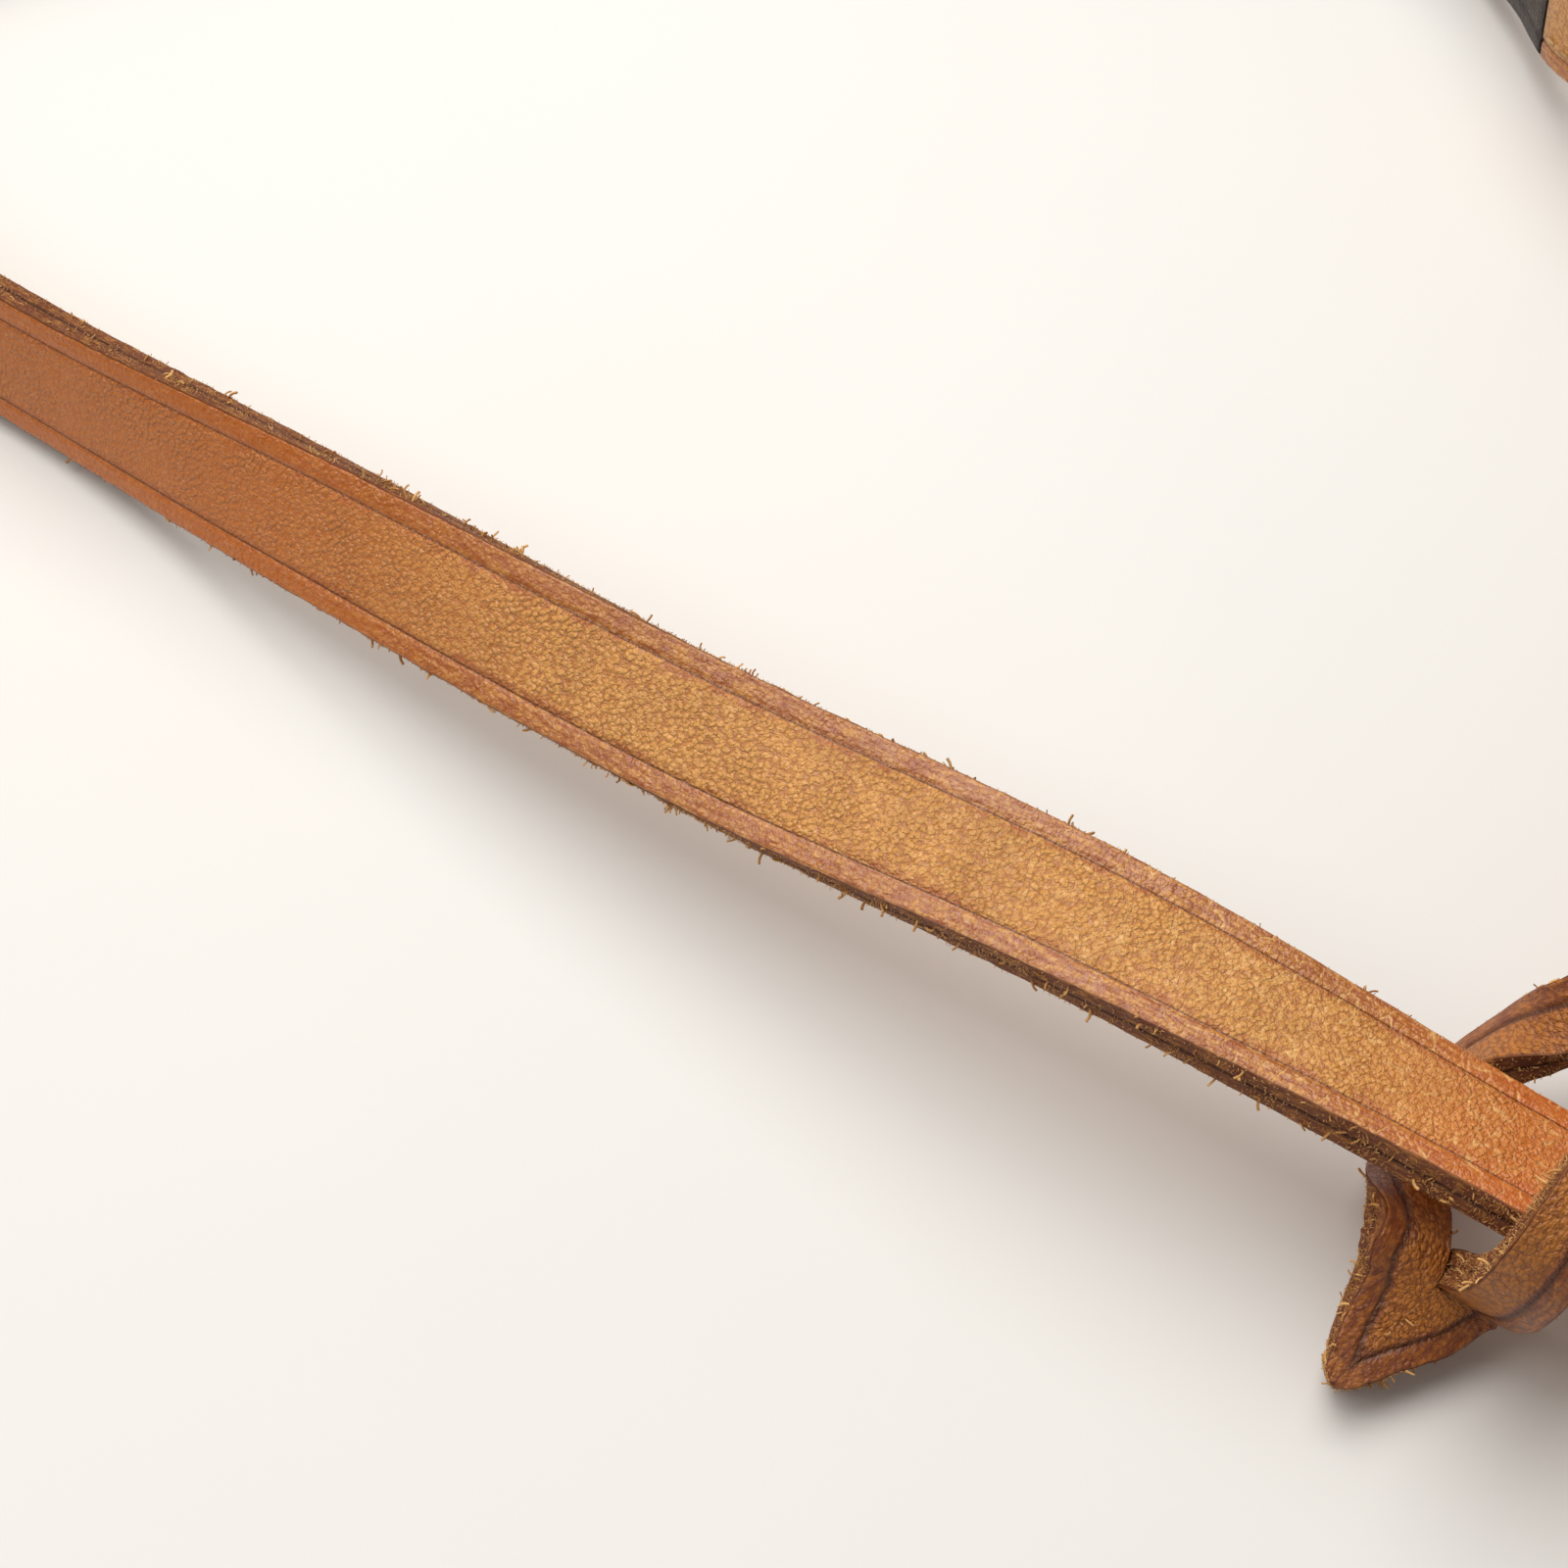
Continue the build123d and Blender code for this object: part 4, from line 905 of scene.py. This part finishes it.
def punch(piece, pegs):
    """Cuts holes (distance along, length, width) straight through a piece near the buckle."""
    for s, long, wide in pegs:
        points, sides = [], 32
        for depth in (-10.0, 20.0):
            for i in range(sides):
                a = 2 * math.pi * i / sides
                along = (long - wide) / 2 * (1 if math.cos(a) > 0 else -1) + wide / 2 * math.cos(a)
                points.append(in_row(at_buckle(s + along, depth, wide / 2 * math.sin(a))))
        walls = [(i, (i + 1) % sides, sides + (i + 1) % sides, sides + i) for i in range(sides)]
        mesh = bpy.data.meshes.new("peg")
        mesh.from_pydata(points, [], walls + [tuple(range(sides))[::-1], tuple(range(sides, 2 * sides))])
        mesh.attributes.new("rim", "FLOAT", "POINT").data.foreach_set("value", [-0.6] * (2 * sides))
        tool = placed("peg", mesh)
        cut = piece.modifiers.new("punch", "BOOLEAN")
        cut.object = tool
        cut.solver = "EXACT"
        evaluated = piece.evaluated_get(bpy.context.evaluated_depsgraph_get())
        cut_mesh = bpy.data.meshes.new_from_object(evaluated)
        piece.modifiers.remove(cut)
        piece.data = cut_mesh
        bpy.data.objects.remove(tool)
    print(piece.name, "punched", len(pegs), "times,", len(piece.data.polygons), "faces")


head_knots = [(-CHEEK_X, -CHEEK_HALF, STRAP_Z, 90), (-203, -40, 8.4, 90), (-195, -80, 6.5, 90),
              (-168, -118, 6.3, 90), (-110, -148, 6.3, 90), (-40, -160, 6.3, 90), (40, -160, 6.3, 90),
              (110, -148, 6.3, 90), (158, -124, 7.2, 90)]
for s, out_by in TAIL_OUT.items():
    head_knots.append((*at_buckle(s, out_by, -DROP.get(s, 0.0)), 90))
head_route = frames(head_knots, start_dir=(0, -1, 0), end_dir=-BILLET_DIR)
head_plies = strap("headpiece", doubled(head_route, STRAP_W, CHEEK_END, point=POINT, step=1.6), "harness",
                   (tan_leather, dark_leather), seed=23.0)
billet_route = straight(Vector((CHEEK_X, -CHEEK_HALF, STRAP_Z)), BILLET_DIR, UP, BILLET_LENGTH)
buckle_end = (BUCKLE_WIRE, LOOP_GAP, STRAP_W)
buckle_plies = strap("buckle_strap", doubled(billet_route, STRAP_W, CHEEK_END, buckle_end), "harness",
                     (tan_leather, tan_leather), seed=29.0)
for ply in head_plies:
    punch(ply, [(HOLE_S, 7.8, 3.6)] + [(HOLE_S + HOLE_PITCH * i, 3.0, 3.0) for i in (-1, 1, 2)])
punch(buckle_plies[0], [(-1.0, 14.0, 3.8)])

# %% [markdown]
# ## Keepers
# A fixed keeper and a sliding runner hold the headpiece's point down. Each is a narrow band of one
# ply, closed round the straps, so it is the same skin on a closed route.
# %% Build the keepers
def band(label, body, s, width, thick, room, seed):
    low, high = -2 * BASE - room, TAIL_OUT[-14] + 2 * BASE + room
    half_n, half_z = (high - low + thick) / 2, STRAP_W / 2 + room + thick / 2
    middle, corner = at_buckle(s, (low + high) / 2), 1.1
    sections = []
    for k in range(4):
        nx, nz = (1, -1, -1, 1)[k], (1, 1, -1, -1)[k]
        heart = middle + BILLET_OUT * (nx * (half_n - corner)) + UP * (nz * (half_z - corner))
        for i in range(7):
            a = math.pi / 2 * (k + i / 6)
            away = BILLET_OUT * math.cos(a) + UP * math.sin(a)
            way = UP * math.cos(a) - BILLET_OUT * math.sin(a)
            sections.append((heart + away * corner, way, way.cross(away) * -1, width))
    piece = skin(label + "_leather", [(sections, 1, (True, True), 20, 0)], tan_leather, thick,
                 closed=True, seed=seed)
    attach(piece, body)
    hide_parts(label)
    print(label, "goes round", round(4 * (half_n + half_z), 1), "mm")


band("fixed_keeper", "harness", -15.6, 5.6, 1.3, 0.4, 37.0)
band("runner", "runner", -25.0, 5.0, 1.2, 0.5, 41.0)

# %% [markdown]
# ## Soft pads
# The nose and the poll are padded with soft dark leather over felt. A pad is a crowned, closed form:
# full in the middle, thin at the sewn edge. It starts as a flat cushion of quads; then Blender's
# Cloth fills it with a little air, so that the skin tightens the way stuffed leather does.
# %% Build and fill the pads
def pad(label, place, length, width, base, tall, rows=70, columns=22):
    """A cushion over the rectangle length x width. place turns (along, across, up) into a drawing point."""
    points, faces = [], []
    for face, lift in ((0, 1.0), (1, 0.0)):
        for i in range(rows + 1):
            for j in range(columns + 1):
                a, b = 2 * i / rows - 1, 2 * j / columns - 1
                round_in = math.sqrt(max(0.0, 1 - max(0.0, (abs(a) - 1 + 0.8 * width / length)
                                                       / (0.8 * width / length)) ** 2.4))
                swell = (1 - abs(a) ** 14) ** 0.5 * (1 - abs(b) ** 4) ** 0.5
                points.append(place(a * length / 2, b * width / 2 * (0.25 + 0.75 * round_in),
                                    base + lift * (0.9 + (tall - 0.9) * swell)))
        start = face * (rows + 1) * (columns + 1)
        for i in range(rows):
            for j in range(columns):
                q = start + i * (columns + 1) + j
                quad = (q, q + columns + 1, q + columns + 2, q + 1)
                faces.append(quad if face == 0 else quad[::-1])
    second = (rows + 1) * (columns + 1)
    loop = ([j for j in range(columns)] + [i * (columns + 1) + columns for i in range(rows)]
            + [rows * (columns + 1) + j for j in range(columns, 0, -1)]
            + [i * (columns + 1) for i in range(rows, 0, -1)])
    for a, b in zip(loop, loop[1:] + loop[:1]):
        faces.append((a, b, second + b, second + a))
    mesh = bpy.data.meshes.new(label)
    mesh.from_pydata([in_row(p) for p in points], [], faces)
    mesh.polygons.foreach_set("use_smooth", [True] * len(faces))
    mesh.materials.append(pad_leather)
    made = placed(label, mesh)
    pinned = made.vertex_groups.new(name="sewn")
    pinned.add(sorted(set(loop)) + list(range(second, 2 * second)), 1.0, "REPLACE")
    return made


def fill(piece, most=0.0007, frames_run=16):
    """Blows the pad up a little with Cloth, and keeps each point within most of where it was."""
    start = [v.co.copy() for v in piece.data.vertices]
    cloth = piece.modifiers.new("fill", "CLOTH")
    cloth.settings.vertex_group_mass = "sewn"
    cloth.settings.use_pressure = True
    cloth.settings.uniform_pressure_force = 4.0
    cloth.settings.effector_weights.gravity = 0.0
    cloth.collision_settings.use_collision = False
    scene = bpy.context.scene
    for number in range(1, frames_run + 1):
        scene.frame_set(number)
    filled = bpy.data.meshes.new_from_object(piece.evaluated_get(bpy.context.evaluated_depsgraph_get()))
    piece.modifiers.remove(cloth)
    for before, vertex in zip(start, filled.vertices):
        moved = vertex.co - before
        if moved.length > most:
            vertex.co = before + moved * (most / moved.length)
    piece.data = filled
    scene.frame_set(1)
    swelling = max((v.co - b).length for v, b in zip(filled.vertices, start))
    print(piece.name, "swelled by up to", round(swelling * 1000, 2), "mm")


nose_pad_base = 2 * PLY + GLUE + 0.40
nose_pad_middle = Vector(((NOSE_LEFT.x + NOSE_RIGHT.x) / 2, nose_y, 0.0))
nose_pad = pad("nose_pad", lambda a, b, z: nose_pad_middle + Vector((a, b, z)),
               NOSE_RIGHT.x - NOSE_LEFT.x - 34, 24.0, nose_pad_base, 4.6)
head_total = head_route[-1][0]


def along_poll(a, b, z):
    """A point of the poll pad, on the inner side of the headpiece."""
    _, p, _, w, n = station(head_route, head_total / 2 + a)
    return p + w * b - n * z


poll_pad = pad("poll_pad", along_poll, head_total * 0.25, 11.4, 2 * BASE + 0.15, 3.3, rows=110, columns=14)
for piece, node_name, flip in ((nose_pad, "nose_lining", False), (poll_pad, "poll_lining", True)):
    if flip:
        piece.data.flip_normals()
    fill(piece)
    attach(piece, "harness")
    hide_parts(node_name)

# %% [markdown]
# ## Stitches
# Each turned end is sewn down with two rows of saddle stitches. Every stitch is the same short bead
# of thread, and all of them follow a line, which is exactly what Geometry Nodes are for: a line
# becomes a curve, the curve becomes evenly spaced points, and a bead is placed on each point.
# %% A Geometry Nodes tree that sews along a line
def geometry_tree(name, sockets):
    tree = bpy.data.node_groups.new(name, "GeometryNodeTree")
    tree.interface.new_socket("Geometry", in_out="INPUT", socket_type="NodeSocketGeometry")
    for label, kind, value in sockets:
        socket = tree.interface.new_socket(label, in_out="INPUT", socket_type=kind)
        if value is not None:
            socket.default_value = value
    tree.interface.new_socket("Geometry", in_out="OUTPUT", socket_type="NodeSocketGeometry")
    return tree, tree.nodes.new("NodeGroupInput").outputs, tree.nodes.new("NodeGroupOutput").inputs


def sockets_of(tree):
    return {i.name: i.identifier for i in tree.interface.items_tree if i.in_out == "INPUT"}


def grown(source, tree, name, material):
    """The plain mesh that a tree makes from a source object, as a new object at the origin."""
    modifier = source.modifiers.new("grow", "NODES")
    modifier.node_group = tree
    modifier[sockets_of(tree)["Material"]] = material
    mesh = bpy.data.meshes.new_from_object(source.evaluated_get(bpy.context.evaluated_depsgraph_get()))
    source.modifiers.remove(modifier)
    mesh.name = name
    print(name, len(mesh.polygons), "faces")
    return placed(name, mesh)


sew, given, out = geometry_tree("saddle_stitches", [
    ("Spacing", FLOAT, 0.0021), ("Length", FLOAT, 0.00155), ("Thread", FLOAT, 0.00052),
    ("Material", "NodeSocketMaterial", None)])
line = node(sew, "GeometryNodeMeshToCurve", {0: given["Geometry"]}).outputs[0]
dots = node(sew, "GeometryNodeCurveToPoints", {"Curve": line, "Length": given["Spacing"]},
            mode="LENGTH").outputs
bead = node(sew, "GeometryNodeMeshUVSphere", {"Segments": 8, "Rings": 6, "Radius": 0.5}).outputs["Mesh"]
size = node(sew, "ShaderNodeCombineXYZ", {"X": given["Thread"], "Y": given["Thread"],
                                          "Z": given["Length"]}).outputs[0]
sewn = node(sew, "GeometryNodeInstanceOnPoints", {"Points": dots["Points"], "Instance": bead,
                                                  "Rotation": dots["Rotation"], "Scale": size}).outputs[0]
real = node(sew, "GeometryNodeRealizeInstances", {"Geometry": sewn}).outputs[0]
round_bead = node(sew, "GeometryNodeSetShadeSmooth", {"Geometry": real}).outputs[0]
threaded = node(sew, "GeometryNodeSetMaterial", {"Geometry": round_bead, "Material": given["Material"]})
sew.links.new(threaded.outputs[0], out["Geometry"])

# %% Rows of stitches at every turned end
STITCH_IN = 2.9
STITCH_FROM, STITCH_TO = 5.2, 13.0


def row(sections, outward, inset, first, last):
    """A line just above a ply's outer face, over the sections between two distances from the wire."""
    gone, line = 0.0, []
    for i, (p, t, w, wide, *_) in enumerate(sections):
        gone += (p - sections[i - 1][0]).length if i else 0.0
        if first <= gone <= last:
            n = t.cross(w)
            line.append(p + n * (outward * (PLY / 2 + 0.10)) + w * (inset * (wide / 2 - STITCH_IN)))
    return line


def stitch_lines(labels):
    """Sewing lines on the face side and the underside of every turned end."""
    lines = []
    for label in labels:
        outer, _, side = ends_of[label]
        total = sum((b[0] - a[0]).length for a, b in zip(outer, outer[1:]))
        under = TURN + TURN_END
        over = under + math.pi * (WIRE / 2 + LOOP_GAP + PLY / 2)
        spans = []
        if label != "jaw_strap":
            spans += [(1.2, under - STITCH_FROM), (over + STITCH_FROM, over + STITCH_TO)]
        if label != "headpiece":
            spans += [(total - under + STITCH_FROM, total - 1.2),
                      (total - over - STITCH_TO, total - over - STITCH_FROM)]
        for first, last in spans:
            lines += [row(outer, side, way, first, last) for way in (-1, 1)]
    return [line for line in lines if len(line) > 2]


def sewing(name, labels, body):
    points, edges = [], []
    for line in stitch_lines(labels):
        edges += [(len(points) + i, len(points) + i + 1) for i in range(len(line) - 1)]
        points += [in_row(p) for p in line]
    mesh = bpy.data.meshes.new(name + "_lines")
    mesh.from_pydata(points, edges, [])
    source = placed(name + "_lines", mesh)
    made = grown(source, sew, name, thread)
    bpy.data.objects.remove(source)
    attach(made, body)


sewing("harness_stitches", [label for label in ends_of if label != "jaw_strap"], "harness")
sewing("jaw_strap_stitches", ["jaw_strap"], "jaw_strap")

# %% [markdown]
# ## Loose fibres on the cut edges
# Undressed edges shed: hair-thin fibres stand out of the cut, mostly a fraction of a millimetre
# long, bunched in tufts where the knife tore, with a few long ones that catch the light. The
# fibres grow by Geometry Nodes on the faces whose `rim` is negative. Noise thins them out into
# tufts, and each one is bent, turned and sized by its own random number, from a fixed seed.
# %% A Geometry Nodes tree that grows fibres
fray, given, out = geometry_tree("edge_fibres", [
    ("Density", FLOAT, 2.6e7), ("Length", FLOAT, 0.00040), ("Seed", "NodeSocketInt", 3),
    ("Material", "NodeSocketMaterial", None)])
rim_value = node(fray, "GeometryNodeInputNamedAttribute", {"Name": "rim"},
                 data_type="FLOAT").outputs["Attribute"]
below = node(fray, "FunctionNodeCompare", {0: rim_value, 1: -0.10}, data_type="FLOAT",
             operation="LESS_THAN").outputs[0]
above = node(fray, "FunctionNodeCompare", {0: rim_value, 1: -PLY - 0.1}, data_type="FLOAT",
             operation="GREATER_THAN").outputs[0]
on_edge = node(fray, "FunctionNodeBooleanMath", {0: below, 1: above}, operation="AND").outputs[0]
tuft = node(fray, "ShaderNodeTexNoise", {"Scale": 420.0, "Detail": 2.0}).outputs["Fac"]
tufted = node(fray, "ShaderNodeMapRange", {"Value": tuft, "From Min": 0.46, "From Max": 0.68, "To Min": 0.12,
                                           "To Max": 1.0}).outputs[0]
often = maths(fray, "MULTIPLY", tufted, given["Density"])
sown = node(fray, "GeometryNodeDistributePointsOnFaces", {"Mesh": given["Geometry"], "Selection": on_edge,
                                                          "Density": often, "Seed": given["Seed"]}).outputs
hair = node(fray, "GeometryNodeCurveQuadraticBezier", {
    "Resolution": 3, "Start": (0.0, 0.0, -0.05), "Middle": (0.08, 0.05, 0.60),
    "End": (0.62, 0.12, 0.92)}).outputs[0]
along_hair = node(fray, "GeometryNodeSplineParameter").outputs["Factor"]
slim = node(fray, "ShaderNodeMapRange", {"Value": along_hair, "To Min": 1.0, "To Max": 0.35}).outputs[0]
tapered = node(fray, "GeometryNodeSetCurveRadius", {"Curve": hair, "Radius": slim}).outputs[0]
ring = node(fray, "GeometryNodeCurvePrimitiveCircle", {"Resolution": 3}, mode="RADIUS")
ring.inputs["Radius"].default_value = 0.15
tube = node(fray, "GeometryNodeCurveToMesh", {"Curve": tapered, "Profile Curve": ring.outputs[0]})
chance = node(fray, "FunctionNodeRandomValue", {2: 0.0, 3: 1.0, "Seed": 5}, data_type="FLOAT").outputs[1]
rare = maths(fray, "MULTIPLY", maths(fray, "POWER", chance, 30.0), 1.9)
size = maths(fray, "MULTIPLY", maths(fray, "ADD", rare, 0.45), given["Length"])
lean = node(fray, "FunctionNodeRandomValue", {0: (-1.0, -1.0, -3.14), 1: (1.0, 1.0, 3.14), "Seed": 8},
            data_type="FLOAT_VECTOR").outputs[0]
leaning = node(fray, "FunctionNodeEulerToRotation", {0: lean}).outputs[0]
turned_hair = node(fray, "FunctionNodeRotateRotation", {"Rotation": sown["Rotation"], "Rotate By": leaning},
                   rotation_space="LOCAL").outputs[0]
planted = node(fray, "GeometryNodeInstanceOnPoints", {"Points": sown["Points"], "Instance": tube.outputs[0],
                                                      "Rotation": turned_hair, "Scale": size}).outputs[0]
real = node(fray, "GeometryNodeRealizeInstances", {"Geometry": planted}).outputs[0]
coloured = node(fray, "GeometryNodeSetMaterial", {"Geometry": real, "Material": given["Material"]})
fray.links.new(coloured.outputs[0], out["Geometry"])

# %% Let the fibres grow
for name, body in (("throat_lash_face", "harness"), ("throat_lash_back", "harness"),
                   ("jaw_strap_face", "jaw_strap"), ("jaw_strap_back", "jaw_strap")):
    fuzz = grown(bpy.data.objects[name + "_leather"], fray, name + "_fibres", fibre)
    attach(fuzz, body)

# %% [markdown]
# ## The metal
# The rings, the buckle and the snap hook are already exact in the CAD, so their meshes stay, and
# only get their brass.
# %% Put the brass on
shown = [n for n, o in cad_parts.items() if not o.hide_render]
for n in shown:
    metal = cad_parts[n].data.materials
    metal.clear()
    metal.append(brass)
print("brass:", shown)

# %% [markdown]
# ## The table and the light
# The headcollar lies on a pale tabletop under one large soft lamp, almost overhead and a little
# behind the strap, with a weak one at the side. A wide lamp gives soft shadows, and its reflection
# lies along the strap as a broad sheen that the grain breaks into bright specks. A pale world fills
# the shadows.
# %% The stage
TABLE_SIZE = 4.0
LAMP_AWAY = 0.58
LAMP_WAY = Vector((-0.30, 0.32, 0.90)).normalized()
LAMP_SIZE = (0.46, 0.72)
LAMP_POWER = 3.7
SIDE_WAY = Vector((-0.50, -0.42, 0.76)).normalized()
SIDE_SIZE = (0.34, 0.34)
SIDE_POWER = 0.85
WORLD_GLOW = 0.21

table = bpy.data.meshes.new("table_top")
half = TABLE_SIZE / 2
table.from_pydata([(-half, -half, STAGE_HEIGHT), (half, -half, STAGE_HEIGHT),
                   (half, half, STAGE_HEIGHT), (-half, half, STAGE_HEIGHT)], [], [(0, 1, 2, 3)])
table_top = placed("table_top", table)
table.materials.append(plain("pale_table", (0.86, 0.845, 0.815, 1.0), (0.84, 0.825, 0.795, 1.0), 3.0, 0.62))


def soft_lamp(name, way, size, power):
    """An area lamp that shines on the middle of the view from the direction way."""
    lamp = bpy.data.lights.new(name, "AREA")
    lamp.shape = "RECTANGLE"
    lamp.size, lamp.size_y = size
    lamp.energy = power
    lamp.color = (1.0, 0.975, 0.94)
    lamp_object = placed(name, lamp)
    lamp_object.location = in_row(VIEW_POINT) + way * LAMP_AWAY
    across = (Vector((1.0, 0.0, 0.0)) - way * way.x).normalized()
    lamp_object.rotation_euler = Matrix((across, way.cross(across), way)).transposed().to_euler()


soft_lamp("soft_lamp", LAMP_WAY, LAMP_SIZE, LAMP_POWER)
soft_lamp("side_lamp", SIDE_WAY, SIDE_SIZE, SIDE_POWER)

world = bpy.data.worlds.new("pale_room")
world.use_nodes = True
world.node_tree.nodes["Background"].inputs["Color"].default_value = (1.0, 0.985, 0.96, 1.0)
world.node_tree.nodes["Background"].inputs["Strength"].default_value = WORLD_GLOW
bpy.context.scene.world = world
bpy.context.scene.view_settings.view_transform = "Standard"
print("lamps of", LAMP_POWER, "and", SIDE_POWER, "W at", LAMP_AWAY, "m")
